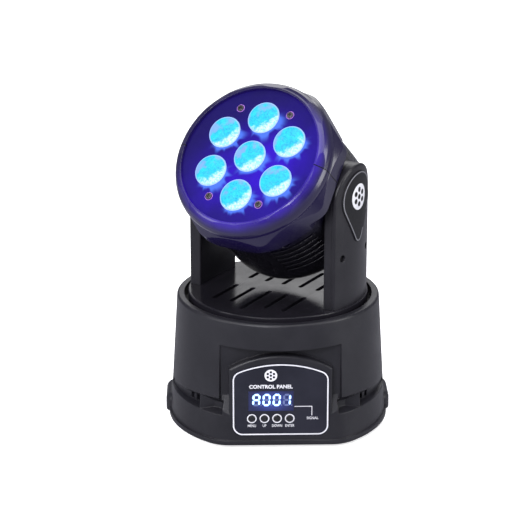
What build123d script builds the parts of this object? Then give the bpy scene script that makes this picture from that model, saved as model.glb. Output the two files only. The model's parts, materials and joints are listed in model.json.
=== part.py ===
"""A mini moving head wash light: round base, panning yoke and tilting head with seven lenses.

Millimetres, +Z up. The origin is on the floor under the middle of the base, and the control
panel faces -Y. Yoke pieces are drawn with the arms along X, head pieces with the optical axis
along +Z and the tilt axis along X, and each is then moved to the rest pose.
"""

from build123d import *

import math
import os

os.makedirs("parts", exist_ok=True)

# ---------------------------------------------------------------- rest pose
PAN_REST = -31.5
TILT_REST = 50.5
TILT_Z = 178.3
BASE_FRAME = Location((0, 0, 0))
YOKE_FRAME = Location((0, 0, 0), (0, 0, PAN_REST))
HEAD_FRAME = YOKE_FRAME * Location((0, 0, TILT_Z), (TILT_REST, 0, 0))

# ---------------------------------------------------------------- base
FOOT_H = 3.0
LIP_R = 82.5
LIP_TOP = 6.4
CONE_R = 81.0
RIM_R = 75.4
RIM_Z = 98.3
HOOD_Z = 79.0
FLAT_Y = 68.0
CORNER_R = 25.0
WALL = 2.5
DECK_Z = 87.0
DECK_T = 3.0
WELL_R = 70.0
POCKET_HALF = 43.5
POCKET_Y = 62.0
SCOOP_SHIFT = 9.6
SCOOP_R = 79.6
SCOOP_Z = 26.5
SCOOP_VENTS = 3
SCOOP_VENT_FIRST = 49.5
SCOOP_VENT_STEP = 5.0
LUG_TOP = 16.0
CHEEK_Z = 30.0
CHEEK_OUT = 6.0
PANEL_ROUND = 1.9
CAVITY_FRONT = 58.5
CAVITY_REAR = 63.5
CONE_SLOPE = math.degrees(math.atan2(CONE_R - RIM_R, RIM_Z - LIP_TOP))

# control panel, on the flat front
PANEL_HALF = 37.5
PANEL_SIDE_Z = 62.0
PANEL_APEX_Z = 72.4
OVERLAY_T = 0.4
DISPLAY_X = -7.0
DISPLAY_Z = 37.2
DISPLAY_W = 33.0
DISPLAY_H = 15.6
BUTTON_Z = 23.6
BUTTON_PITCH = 9.17
BUTTON_X0 = -20.9
BUTTON_R = 2.3
BUTTON_HOLE_R = 2.65
BOARD_Y = -56.0
BOARD_T = 1.6

# rear panel
REAR_HALF = 36.0
REAR_LOW = 12.0
REAR_HIGH = 62.0
DMX_X = 18.0
DMX_Z = 49.0
DMX_R = 12.5
INLET_X = -10.0
INLET_Z = 25.5
FUSE_X = 23.0

# bottom plate
PLATE_T = 1.6
PLATE_R = 79.4
FOOT_XY = 48.0
FOOT_R = 8.0
BRACKET_SPACING = 110.0
BRACKET_HOLE_R = 3.0
M3_R = 1.5

# ---------------------------------------------------------------- pan drive
SHAFT_R = 12.0
SHAFT_BORE_R = 8.5
RUN_FIT = 0.05
BEARING_R = 18.0
PULLEY_Z = 55.0
PULLEY_W = 6.0
PAN_PULLEY_R = 21.0
DRIVE_R = 6.0
PAN_MOTOR_X = -41.0
PAN_MOTOR_Y = 12.0
MOTOR_R = 17.5
MOTOR_L = 22.0
MOTOR_SHAFT_R = 2.5
BELT_GAP = 0.35
BELT_T = 1.2

# ---------------------------------------------------------------- yoke
FLOOR_R = 67.0
FLOOR_Z = 100.9
FLOOR_T = 2.6
FLOOR_LOW = 91.5
ARM_IN = 52.1
ARM_SPLIT = 58.5
ARM_OUT_R = 66.2
ARM_HALF = 25.6
ARM_TOP_Z = 180.0
ARM_WALL = 2.4
BADGE_R = 19.5
BADGE_Z = 181.0
BADGE_TIP_Z = 143.0
BADGE_T = 0.8
LIMIT_H = 300.0
STANDING = (Align.CENTER, Align.CENTER, Align.MIN)
SLOT_PITCH = 14.5
SLOT_W = 3.4
COVER_SCREW_Y = 18.0
COVER_SCREW_Z = 139.0

# ---------------------------------------------------------------- tilt pivots and drive
PIVOT_R = 8.0
PIVOT_BORE_R = 5.0
PIVOT_IN = 37.0
TILT_BEARING_R = 12.0
TILT_BEARING_IN = 46.3
TILT_PULLEY_R = 14.0
TILT_DRIVE_R = 5.0
TILT_PULLEY_X = 38.5
TILT_MOTOR_Y = -22.0
TILT_MOTOR_H = -14.0
TILT_MOTOR_X = 8.0

# ---------------------------------------------------------------- head
BARREL_R = 58.0
REAR_H = -58.0
REAR_ROUND = 28.0
SHELL_T = 2.4
SIDE_X = 50.3
SHOULDER_H = 28.3
FLARE_LOW_H = 20.5
FLARE_APOTHEM = 60.6
FLARE_ROUND = 14.0
FLARE_CORNER_R = 64.5
GROOVE_LOW_H = 43.0
BEZEL_LOW_H = 44.3
BEZEL_R = 60.8
BEZEL_FRONT_H = 56.0
BEZEL_FRONT_R = 54.2
BEZEL_FLAT_RUN = 1.1
PARTING_GAP = 0.3
PLATE_H = 53.5
LENS_PLATE_R = 52.6
LENS_PLATE_T = 2.0
LEDGE_R = 50.3
LENS_PITCH = 30.8
LENS_HOLE_R = 12.45
LENS_R = 12.2
PLATE_SCREW_R = 40.8
LED_BOARD_H = 33.0
HEATSINK_H = 16.5
FAN_SIZE = 60.0
FAN_BORE_R = 28.5
FAN_REAR_H = -48.0
FAN_DEPTH = 15.0
FAN_HUB_R = 12.5
BLADE_R = 27.5
BLADE_COUNT = 7
VENT_PITCH = 6.2
VENT_W = 2.6
VENT_FIRST_H = 10.0
VENT_COUNT = 6

# ---------------------------------------------------------------- places worked out from the above
PLATE_SCREW_X = 65.0
PLATE_SCREW_Y = 33.0
DMX_BODY_R = 10.8
BOARD_Z = 12.0
PSU_X = 15.0
PSU_Y = 12.0
MAIN_BOARD_X = -42.0
MAIN_BOARD_Y = -8.0
BUTTON_NAMES = ("menu_button", "up_button", "down_button", "enter_button")
BUTTON_SPOTS = [(BUTTON_X0 + k * BUTTON_PITCH, BUTTON_Z) for k in range(4)]
REAR_SCREWS = [(x, z) for x in (3 - REAR_HALF, REAR_HALF - 3) for z in (REAR_LOW + 3, REAR_HIGH - 3)]
COVER_SCREWS = [(-COVER_SCREW_Y, COVER_SCREW_Z), (COVER_SCREW_Y, COVER_SCREW_Z)]
LENS_SPOTS = [(0, 0)] + [
    (LENS_PITCH * math.cos(math.radians(a)), LENS_PITCH * math.sin(math.radians(a)))
    for a in range(30, 390, 60)
]
PLATE_SCREW_SPOTS = [
    (PLATE_SCREW_R * math.cos(math.radians(a)), PLATE_SCREW_R * math.sin(math.radians(a)))
    for a in (60, 120, 240, 300)
]
BOSS_ANGLE = 57.0
BOSS_H = 17.5
BOSS_PLANES = {
    side: Plane(
        origin=(
            side * BARREL_R * math.cos(math.radians(BOSS_ANGLE)),
            -BARREL_R * math.sin(math.radians(BOSS_ANGLE)),
            BOSS_H,
        ),
        z_dir=(side * math.cos(math.radians(BOSS_ANGLE)), -math.sin(math.radians(BOSS_ANGLE)), 0),
    )
    for side in (-1, 1)
}


def save(builder, name, frame):
    """Move a finished piece to its place at rest and write it under its node name."""
    placed = builder.part.moved(frame)
    placed.label = name
    export_step(placed, f"parts/{name}.step")


def cone_r(z):
    """Outer radius of the base drum at height z."""
    return CONE_R - (CONE_R - RIM_R) * (z - LIP_TOP) / (RIM_Z - LIP_TOP)


def drum_outline(sketch, radius, flat):
    """A disc with a flat at the front and the rear whose corners run smoothly into the round."""
    Circle(radius)
    Rectangle(4 * radius, 2 * flat, mode=Mode.INTERSECT)
    fillet(sketch.vertices().filter_by(lambda v: abs(abs(v.Y) - flat) < 0.01), CORNER_R)


def ring(outer, inner, height):
    """A plain ring standing on the current workplane."""
    Cylinder(outer, height, align=STANDING)
    Cylinder(inner, height, align=STANDING, mode=Mode.SUBTRACT)


def arch_outline(half, low, side, apex):
    """Flat-bottomed outline with straight sides and one long arc on top."""
    with BuildSketch(Plane.XY) as outline:
        with BuildLine():
            Polyline((-half, side), (-half, low), (half, low), (half, side))
            ThreePointArc((half, side), (0, apex), (-half, side))
        make_face()
    return outline.sketch


def arm_outline(inset):
    """Side view of an arm: straight sides with a half-round top."""
    half = ARM_HALF - inset
    return arch_outline(half, FLOOR_Z + inset, ARM_TOP_Z, ARM_TOP_Z + half)


# ================================================================ base

with BuildPart() as scoop_form:
    with BuildSketch(Plane.XZ):
        Polygon(
            (SCOOP_R, SCOOP_Z + 1), (SCOOP_R, SCOOP_Z + 6), (SCOOP_R + 14, SCOOP_Z + 17),
            (SCOOP_R + 14, SCOOP_Z - 2), align=None,
        )
    revolve(axis=Axis.Z)

with BuildPart() as scoop_sectors:
    for side in (-1, 1):
        with BuildSketch(Plane.XY) as sector:
            with BuildLine():
                Polyline(
                    (side * 48, -48), (side * 90, -70), (side * 110, -4), (side * 70, -4),
                    close=True,
                )
            make_face()
            with Locations((side * 49, -62)):
                Circle(8.0)
            with Locations((side * 60, -66)):
                Rectangle(26, 24)
        extrude(amount=60)

scoop_cut = scoop_form.part.moved(Location((0, SCOOP_SHIFT, 0))) & scoop_sectors.part

panel_block = arch_outline(PANEL_HALF, LIP_TOP, PANEL_SIDE_Z, PANEL_APEX_Z)
with BuildPart() as panel_form:
    with BuildSketch(Plane.XZ.offset(FLAT_Y)):
        add(panel_block)
    extrude(amount=-8)
    arch_edges = panel_form.faces().sort_by(Axis.Y)[0].edges().filter_by(lambda e: e.center().Z > LIP_TOP + 1)
    fillet(arch_edges, PANEL_ROUND)

panel_hollow = arch_outline(PANEL_HALF - WALL, 11, PANEL_SIDE_Z - WALL, PANEL_APEX_Z - WALL)

with BuildPart() as side_lug:
    with BuildSketch(Plane.XY.offset(FOOT_H)):
        with Locations((73.5, 14)):
            RectangleRounded(23, 40, 9)
    extrude(amount=LUG_TOP - FOOT_H)
    fillet(side_lug.faces().sort_by(Axis.Z)[-1].edges(), 5.0)

with BuildPart() as base_casing:
    with BuildSketch(Plane.XY.offset(FOOT_H)) as lip:
        drum_outline(lip, LIP_R, FLAT_Y + 1.3)
    extrude(amount=LIP_TOP - FOOT_H)
    with BuildSketch(Plane.XY.offset(LIP_TOP)) as drum_low:
        drum_outline(drum_low, CONE_R, FLAT_Y)
    with BuildSketch(Plane.XY.offset(HOOD_Z)) as drum_high:
        drum_outline(drum_high, cone_r(HOOD_Z), FLAT_Y)
    loft()
    with BuildSketch(Plane.XZ):
        Polygon((0, HOOD_Z), (cone_r(HOOD_Z), HOOD_Z), (RIM_R, RIM_Z), (0, RIM_Z), align=None)
    revolve(axis=Axis.Z)
    fillet(base_casing.faces().sort_by(Axis.Z)[-1].edges(), 2.0)
    add(side_lug.part)
    add(side_lug.part.mirror(Plane.YZ))
    # pocket round the control panel, its floor running out at the skirt
    with BuildSketch(Plane.YZ.offset(-POCKET_HALF)):
        Polygon(
            (-POCKET_Y, HOOD_Z), (-POCKET_Y, 40), (-FLAT_Y - 3, 19), (-100, 19), (-100, HOOD_Z),
            align=None,
        )
    extrude(amount=2 * POCKET_HALF, mode=Mode.SUBTRACT)
    for side in (-1, 1):
        with BuildSketch(Plane.XY.offset(CHEEK_Z)):
            Polygon(
                (side * (POCKET_HALF - 1), -POCKET_Y), (side * POCKET_HALF, -POCKET_Y),
                (side * (POCKET_HALF + CHEEK_OUT), -POCKET_Y - 18), (side * (POCKET_HALF - 1), -POCKET_Y - 18),
                align=None,
            )
        extrude(amount=HOOD_Z - CHEEK_Z, mode=Mode.SUBTRACT)
    add(scoop_cut, mode=Mode.SUBTRACT)
    # raised arched block that carries the panel
    add(panel_form.part)
    # hollow for the electronics
    with BuildSketch(Plane.XY.offset(FOOT_H)):
        Circle(CONE_R - WALL)
        with Locations((0, SCOOP_SHIFT)):
            Circle(SCOOP_R - WALL, mode=Mode.INTERSECT)
        with Locations((0, (CAVITY_REAR - CAVITY_FRONT) / 2)):
            Rectangle(200, CAVITY_REAR + CAVITY_FRONT, mode=Mode.INTERSECT)
    extrude(amount=DECK_Z - FOOT_H, taper=CONE_SLOPE, mode=Mode.SUBTRACT)
    with BuildSketch(Plane.XZ.offset(FLAT_Y - WALL)):
        add(panel_hollow)
    extrude(amount=-16, mode=Mode.SUBTRACT)
    # posts for the bottom plate's screws
    with BuildSketch(Plane.XY.offset(FOOT_H)):
        with GridLocations(2 * PLATE_SCREW_X, 2 * PLATE_SCREW_Y, 2, 2):
            Circle(6)
    extrude(amount=19)
    with BuildSketch(Plane.XY.offset(FOOT_H)):
        with GridLocations(2 * PLATE_SCREW_X, 2 * PLATE_SCREW_Y, 2, 2):
            Circle(M3_R + 0.05)
    extrude(amount=10, mode=Mode.SUBTRACT)
    # rebate for the bottom plate
    with BuildSketch(Plane.XY.offset(FOOT_H)) as rebate:
        drum_outline(rebate, PLATE_R + 0.3, FLAT_Y - 2)
    extrude(amount=PLATE_T + 0.2, mode=Mode.SUBTRACT)
    # well for the yoke disc, and the seat of the pan bearing
    with BuildSketch(Plane.XY.offset(DECK_Z + DECK_T)):
        Circle(WELL_R)
    extrude(amount=20, mode=Mode.SUBTRACT)
    with BuildSketch(Plane.XY.offset(DECK_Z - 5)):
        Circle(BEARING_R + 3)
    extrude(amount=5 + DECK_T)
    with BuildSketch(Plane.XY.offset(DECK_Z - 5)):
        Circle(BEARING_R)
    extrude(amount=20, mode=Mode.SUBTRACT)
    # display window and button holes
    with BuildSketch(Plane.XZ.offset(FLAT_Y)):
        with Locations((DISPLAY_X, DISPLAY_Z)):
            Rectangle(DISPLAY_W, DISPLAY_H)
        with Locations(*BUTTON_SPOTS):
            Circle(BUTTON_HOLE_R)
    extrude(amount=-2 * WALL, mode=Mode.SUBTRACT)
    # rear panel seat and window
    with BuildSketch(Plane.XZ.offset(-FLAT_Y - 3)):
        with Locations((0, (REAR_LOW + REAR_HIGH) / 2)):
            Rectangle(2 * REAR_HALF + 0.6, REAR_HIGH - REAR_LOW + 0.6)
    extrude(amount=5, mode=Mode.SUBTRACT)
    with BuildSketch(Plane.XZ.offset(-FLAT_Y)):
        with Locations((0, (REAR_LOW + REAR_HIGH) / 2)):
            Rectangle(2 * REAR_HALF - 12, REAR_HIGH - REAR_LOW - 4)
        with Locations(*REAR_SCREWS):
            Circle(M3_R - 0.05)
    extrude(amount=10, mode=Mode.SUBTRACT)
    # upright vent holes in the back of each scoop
    for side in (-1, 1):
        for k in range(SCOOP_VENTS):
            turn = math.radians(SCOOP_VENT_FIRST + SCOOP_VENT_STEP * k)
            reach = SCOOP_R - 3 - SCOOP_SHIFT * math.cos(turn)
            spot = (side * reach * math.sin(turn), -reach * math.cos(turn), SCOOP_Z + 3.6)
            with Locations(Location(spot, (0, 0, side * math.degrees(turn)))):
                Box(3.4, 16, 4.4, mode=Mode.SUBTRACT)
save(base_casing, "base_casing", BASE_FRAME)

with BuildPart() as base_plate:
    with BuildSketch(Plane.XY.offset(FOOT_H)) as plate_outline:
        drum_outline(plate_outline, PLATE_R, FLAT_Y - 2.3)
    extrude(amount=PLATE_T)
    # threaded bushes for the hanging bracket
    with BuildSketch(Plane.XY.offset(FOOT_H)):
        with GridLocations(BRACKET_SPACING, 0, 2, 1):
            Circle(6)
    extrude(amount=7)
    with BuildSketch(Plane.XY.offset(FOOT_H)):
        with GridLocations(BRACKET_SPACING, 0, 2, 1):
            Circle(BRACKET_HOLE_R)
    extrude(amount=7, mode=Mode.SUBTRACT)
    with BuildSketch(Plane.XY.offset(FOOT_H)):
        with GridLocations(2 * PLATE_SCREW_X, 2 * PLATE_SCREW_Y, 2, 2):
            Circle(M3_R + 0.1)
    extrude(amount=PLATE_T, mode=Mode.SUBTRACT)
    # pressed-in pillars that carry the two boards
    with BuildSketch(Plane.XY.offset(FOOT_H + PLATE_T)):
        with Locations((PSU_X, PSU_Y)):
            with GridLocations(62, 40, 2, 2):
                Circle(3)
        with Locations((MAIN_BOARD_X, MAIN_BOARD_Y)):
            with GridLocations(22, 50, 2, 2):
                Circle(3)
    extrude(amount=BOARD_Z - FOOT_H - PLATE_T)
save(base_plate, "base_plate", BASE_FRAME)

with BuildPart() as rubber_feet:
    with BuildSketch(Plane.XY):
        with GridLocations(2 * FOOT_XY, 2 * FOOT_XY, 2, 2):
            Circle(FOOT_R)
    extrude(amount=FOOT_H)
    chamfer(rubber_feet.faces().group_by(Axis.Z)[0].edges(), 0.8)
save(rubber_feet, "rubber_feet", BASE_FRAME)

with BuildPart() as base_screws:
    # four through the bottom plate, then four in the corners of the rear panel
    with BuildSketch(Plane.XY.offset(FOOT_H - 1.6)):
        with GridLocations(2 * PLATE_SCREW_X, 2 * PLATE_SCREW_Y, 2, 2):
            Circle(2.8)
    extrude(amount=1.6)
    with BuildSketch(Plane.XY.offset(FOOT_H)):
        with GridLocations(2 * PLATE_SCREW_X, 2 * PLATE_SCREW_Y, 2, 2):
            Circle(M3_R)
    extrude(amount=8)
    with BuildSketch(Plane.XZ.offset(-FLAT_Y)):
        with Locations(*REAR_SCREWS):
            Circle(2.6)
    extrude(amount=-1.4)
    with BuildSketch(Plane.XZ.offset(-FLAT_Y)):
        with Locations(*REAR_SCREWS):
            Circle(M3_R - 0.1)
    extrude(amount=4)
save(base_screws, "base_screws", BASE_FRAME)

# ---------------------------------------------------------------- control panel

overlay_arch = arch_outline(35.4, 10.0, 58.6, 66.6)

with BuildPart() as panel_overlay:
    with BuildSketch(Plane.XZ.offset(FLAT_Y)) as overlay_outline:
        add(overlay_arch)
        fillet(overlay_outline.vertices(), 8.0)
        with Locations((DISPLAY_X, DISPLAY_Z)):
            Rectangle(DISPLAY_W, DISPLAY_H, mode=Mode.SUBTRACT)
        with Locations(*BUTTON_SPOTS):
            Circle(BUTTON_HOLE_R, mode=Mode.SUBTRACT)
    extrude(amount=OVERLAY_T)
save(panel_overlay, "panel_overlay", BASE_FRAME)

with BuildPart() as display_window:
    with BuildSketch(Plane.XZ.offset(FLAT_Y - 1.5)):
        with Locations((DISPLAY_X, DISPLAY_Z)):
            Rectangle(DISPLAY_W - 0.2, DISPLAY_H - 0.2)
    extrude(amount=1.7)
save(display_window, "display_window", BASE_FRAME)

with BuildPart() as display_module:
    with BuildSketch(Plane.XZ.offset(-BOARD_Y)):
        with Locations((DISPLAY_X, DISPLAY_Z)):
            Rectangle(30.2, 14.0)
    extrude(amount=FLAT_Y - 1.8 + BOARD_Y)
save(display_module, "display_module", BASE_FRAME)

with BuildPart() as control_board:
    with BuildSketch(Plane.XZ.offset(-BOARD_Y)):
        with Locations((0, 35)):
            Rectangle(66, 44)
        with Locations((-30, 16), (30, 16), (-30, 54), (30, 54)):
            Circle(M3_R, mode=Mode.SUBTRACT)
    extrude(amount=-BOARD_T)
save(control_board, "control_board", BASE_FRAME)

with BuildPart() as key_switches:
    with BuildSketch(Plane.XZ.offset(-BOARD_Y)):
        with Locations(*BUTTON_SPOTS):
            Rectangle(6, 6)
    extrude(amount=3.4)
    with BuildSketch(Plane.XZ.offset(-BOARD_Y + 3.4)):
        with Locations(*BUTTON_SPOTS):
            Circle(1.7)
    extrude(amount=1.0)
save(key_switches, "key_switches", BASE_FRAME)

for button_name, (button_x, button_z) in zip(BUTTON_NAMES, BUTTON_SPOTS):
    with BuildPart() as button:
        with BuildSketch(Plane.XZ.offset(-BOARD_Y + 5.5)):
            with Locations((button_x, button_z)):
                Circle(BUTTON_R)
        extrude(amount=FLAT_Y + 0.9 - (-BOARD_Y + 5.5))
        fillet(button.faces().sort_by(Axis.Y)[0].edges(), 0.5)
        with BuildSketch(Plane.XZ.offset(FLAT_Y - WALL - 1.4)):
            with Locations((button_x, button_z)):
                Circle(BUTTON_R + 1.0)
        extrude(amount=1.0)
    save(button, button_name, BASE_FRAME)

# ---------------------------------------------------------------- rear panel and sockets

with BuildPart() as rear_panel:
    with BuildSketch(Plane.XZ.offset(-FLAT_Y)):
        with Locations((0, (REAR_LOW + REAR_HIGH) / 2)):
            Rectangle(2 * REAR_HALF, REAR_HIGH - REAR_LOW)
        with Locations((-DMX_X, DMX_Z), (DMX_X, DMX_Z)):
            Circle(DMX_BODY_R, mode=Mode.SUBTRACT)
        with Locations((INLET_X, INLET_Z)):
            Rectangle(27.0, 19.0, mode=Mode.SUBTRACT)
        with Locations((FUSE_X, INLET_Z)):
            Circle(6.0, mode=Mode.SUBTRACT)
        with Locations(*REAR_SCREWS):
            Circle(M3_R - 0.1, mode=Mode.SUBTRACT)
    extrude(amount=2)
save(rear_panel, "rear_panel", BASE_FRAME)

with BuildPart() as power_inlet:
    with BuildSketch(Plane.XZ.offset(-FLAT_Y)):
        with Locations((INLET_X, INLET_Z)):
            RectangleRounded(36, 20.6, 2)
    extrude(amount=-1.6)
    with BuildSketch(Plane.XZ.offset(-FLAT_Y)):
        with Locations((INLET_X, INLET_Z)):
            Rectangle(27.0, 19.0)
    extrude(amount=20)
    # keyed mouth: two chamfered corners on top
    with BuildSketch(Plane.XZ.offset(-FLAT_Y - 1.6)) as mouth:
        with Locations((INLET_X, INLET_Z)):
            Rectangle(24.2, 16.2)
        chamfer(mouth.vertices().group_by(Axis.Y)[-1], 4.5)
    extrude(amount=18, mode=Mode.SUBTRACT)
    with BuildSketch(Plane.XZ.offset(-FLAT_Y + 16.4)):
        with Locations((INLET_X - 7, INLET_Z - 2), (INLET_X, INLET_Z + 2), (INLET_X + 7, INLET_Z - 2)):
            Rectangle(2, 4)
    extrude(amount=-9)
save(power_inlet, "power_inlet", BASE_FRAME)

with BuildPart() as fuse_holder:
    with BuildSketch(Plane.XZ.offset(-FLAT_Y)):
        with Locations((FUSE_X, INLET_Z)):
            Circle(7.5)
    extrude(amount=-5)
    with BuildSketch(Plane.XZ.offset(-FLAT_Y)):
        with Locations((FUSE_X, INLET_Z)):
            Circle(6.0)
    extrude(amount=24)
    fillet(fuse_holder.faces().sort_by(Axis.Y)[-1].edges(), 1.0)
    with BuildSketch(Plane.XZ.offset(-FLAT_Y - 5)):
        with Locations((FUSE_X, INLET_Z)):
            Rectangle(9, 1.6)
    extrude(amount=1.2, mode=Mode.SUBTRACT)
save(fuse_holder, "fuse_holder", BASE_FRAME)

for socket_name, socket_x, is_male in (("dmx_in_socket", DMX_X, True), ("dmx_out_socket", -DMX_X, False)):
    with BuildPart() as socket:
        with BuildSketch(Plane.XZ.offset(-FLAT_Y)):
            with Locations((socket_x, DMX_Z)):
                Circle(DMX_R)
        extrude(amount=-1.8)
        with BuildSketch(Plane.XZ.offset(-FLAT_Y)):
            with Locations((socket_x, DMX_Z)):
                Circle(DMX_BODY_R)
        extrude(amount=19)
        with BuildSketch(Plane.XZ.offset(-FLAT_Y - 1.8)):
            with Locations((socket_x, DMX_Z)):
                Circle(DMX_BODY_R - 1.3)
                if not is_male:
                    Circle(DMX_BODY_R - 2.1, mode=Mode.SUBTRACT)
        extrude(amount=16, mode=Mode.SUBTRACT)
        with BuildSketch(Plane.XZ.offset(-FLAT_Y + (14.2 if is_male else -1.8))):
            with Locations((socket_x, DMX_Z)):
                with PolarLocations(4.0, 3, start_angle=30):
                    Circle(1.2)
        if is_male:
            extrude(amount=-9)
        else:
            extrude(amount=12, mode=Mode.SUBTRACT)
    save(socket, socket_name, BASE_FRAME)

# ---------------------------------------------------------------- electronics

with BuildPart() as power_supply:
    with BuildSketch(Plane.XY.offset(BOARD_Z)):
        with Locations((PSU_X, PSU_Y)):
            Rectangle(70, 48)
            with GridLocations(62, 40, 2, 2):
                Circle(M3_R, mode=Mode.SUBTRACT)
    extrude(amount=BOARD_T)
    with BuildSketch(Plane.XY.offset(BOARD_Z + BOARD_T)):
        with Locations((PSU_X, PSU_Y)):
            Rectangle(24, 22)
        with Locations((PSU_X - 26, PSU_Y)):
            Rectangle(4, 30)
        with Locations((PSU_X + 27, PSU_Y)):
            Rectangle(3, 30)
    extrude(amount=20)
    with BuildSketch(Plane.XY.offset(BOARD_Z + BOARD_T)):
        with Locations((PSU_X + 18.5, PSU_Y + 12), (PSU_X + 18.5, PSU_Y - 12)):
            Circle(5)
        with Locations((PSU_X - 17, PSU_Y - 10)):
            Circle(6)
    extrude(amount=22)
save(power_supply, "power_supply", BASE_FRAME)

with BuildPart() as main_board:
    with BuildSketch(Plane.XY.offset(BOARD_Z)):
        with Locations((MAIN_BOARD_X, MAIN_BOARD_Y)):
            Rectangle(28, 56)
            with GridLocations(22, 50, 2, 2):
                Circle(M3_R, mode=Mode.SUBTRACT)
    extrude(amount=BOARD_T)
    with BuildSketch(Plane.XY.offset(BOARD_Z + BOARD_T)):
        with Locations((MAIN_BOARD_X, MAIN_BOARD_Y - 6)):
            Rectangle(10, 10)
        with Locations((MAIN_BOARD_X, MAIN_BOARD_Y + 16)):
            Rectangle(18, 8)
    extrude(amount=2.4)
save(main_board, "main_board", BASE_FRAME)

# ---------------------------------------------------------------- pan drive

with BuildPart() as pan_bearing:
    with BuildSketch(Plane.XY.offset(DECK_Z - 4)):
        Circle(BEARING_R)
        Circle(SHAFT_R + RUN_FIT, mode=Mode.SUBTRACT)
    extrude(amount=7)
save(pan_bearing, "pan_bearing", BASE_FRAME)

with BuildPart() as pan_motor:
    with BuildSketch(Plane.XY.offset(DECK_Z - MOTOR_L)):
        with Locations((PAN_MOTOR_X, PAN_MOTOR_Y)):
            Circle(MOTOR_R)
            Circle(MOTOR_SHAFT_R + RUN_FIT, mode=Mode.SUBTRACT)
    extrude(amount=MOTOR_L)
save(pan_motor, "pan_motor", BASE_FRAME)


def pulley_form(rim_r, width, flange):
    """A belt pulley standing on the origin, with a thin flange at each end."""
    with BuildPart() as wheel:
        with BuildSketch(Plane.XY):
            Circle(rim_r)
        extrude(amount=width)
        for low in (0, width - 0.8):
            with BuildSketch(Plane.XY.offset(low)):
                Circle(rim_r + flange)
            extrude(amount=0.8)
    return wheel.part


pan_drive_form = pulley_form(DRIVE_R, PULLEY_W, 2.2)
pan_driven_form = pulley_form(PAN_PULLEY_R, PULLEY_W, 2.2)
tilt_drive_form = pulley_form(TILT_DRIVE_R, PULLEY_W, 1.2)
tilt_fixed_form = pulley_form(TILT_PULLEY_R, PULLEY_W, 1.2)

with BuildPart() as pan_drive_pulley:
    add(pan_drive_form)
    with BuildSketch(Plane.XY):
        Circle(MOTOR_SHAFT_R)
    extrude(amount=DECK_Z - 3 - PULLEY_Z)
save(pan_drive_pulley, "pan_drive_pulley", Location((PAN_MOTOR_X, PAN_MOTOR_Y, PULLEY_Z)))

with BuildPart() as pan_driven_pulley:
    add(pan_driven_form)
    with BuildSketch(Plane.XY):
        Circle(SHAFT_R)
    extrude(amount=PULLEY_W, mode=Mode.SUBTRACT)
save(pan_driven_pulley, "pan_driven_pulley", YOKE_FRAME * Location((0, 0, PULLEY_Z)))


def belt_outline(grow, far_x, far_y, near_r, far_r):
    """Outline round two pulleys, from their outer tangents."""
    reach = math.hypot(far_x, far_y)
    turn = math.degrees(math.atan2(far_y, far_x))
    lean = math.degrees(math.acos((near_r - far_r) / reach))
    Circle(near_r + grow)
    with Locations((far_x, far_y)):
        Circle(far_r + grow)
    corners = []
    for sign, start, end in ((1, (0, 0), near_r), (1, (far_x, far_y), far_r),
                             (-1, (far_x, far_y), far_r), (-1, (0, 0), near_r)):
        angle = math.radians(turn + sign * lean)
        corners.append((start[0] + (end + grow) * math.cos(angle),
                        start[1] + (end + grow) * math.sin(angle)))
    Polygon(*corners, align=None)


with BuildPart() as pan_belt:
    with BuildSketch(Plane.XY.offset(PULLEY_Z + 1.2)):
        belt_outline(BELT_GAP + BELT_T, PAN_MOTOR_X, PAN_MOTOR_Y, PAN_PULLEY_R, DRIVE_R)
    extrude(amount=PULLEY_W - 2.4)
    with BuildSketch(Plane.XY.offset(PULLEY_Z + 1.2)):
        belt_outline(BELT_GAP, PAN_MOTOR_X, PAN_MOTOR_Y, PAN_PULLEY_R, DRIVE_R)
    extrude(amount=PULLEY_W - 2.4, mode=Mode.SUBTRACT)
save(pan_belt, "pan_belt", BASE_FRAME)

# ================================================================ yoke

with BuildPart() as pan_shaft:
    with BuildSketch(Plane.XY.offset(PULLEY_Z - 2)):
        Circle(SHAFT_R)
        Circle(SHAFT_BORE_R, mode=Mode.SUBTRACT)
    extrude(amount=FLOOR_Z - FLOOR_T - PULLEY_Z + 2)
save(pan_shaft, "pan_shaft", YOKE_FRAME)

with BuildPart() as yoke_floor:
    with BuildSketch(Plane.XY.offset(FLOOR_LOW)):
        Circle(FLOOR_R)
    extrude(amount=FLOOR_Z - FLOOR_LOW)
    fillet(yoke_floor.faces().sort_by(Axis.Z)[-1].edges(), 0.9)
    with BuildSketch(Plane.XY.offset(FLOOR_LOW)):
        Circle(FLOOR_R - WALL)
        Circle(SHAFT_R + 3, mode=Mode.SUBTRACT)
    extrude(amount=FLOOR_Z - FLOOR_T - FLOOR_LOW, mode=Mode.SUBTRACT)
    with BuildSketch(Plane.XY.offset(FLOOR_LOW)):
        Circle(SHAFT_R)
    extrude(amount=FLOOR_Z - FLOOR_T - FLOOR_LOW, mode=Mode.SUBTRACT)
    # two rows of air slots that run fore and aft
    with BuildSketch(Plane.XY.offset(FLOOR_Z - FLOOR_T)):
        for side in (-1, 1):
            for k in range(-2, 3):
                near = 10.0 if side < 0 else 7.0
                far = 55.0 if k == 0 else 45.0
                with Locations((k * SLOT_PITCH, side * (near + far) / 2)):
                    SlotOverall(far - near, SLOT_W, rotation=90)
    extrude(amount=FLOOR_T, mode=Mode.SUBTRACT)
save(yoke_floor, "yoke_floor", YOKE_FRAME)


arm_side = arm_outline(0)
arm_inside = arm_outline(ARM_WALL)

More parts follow.
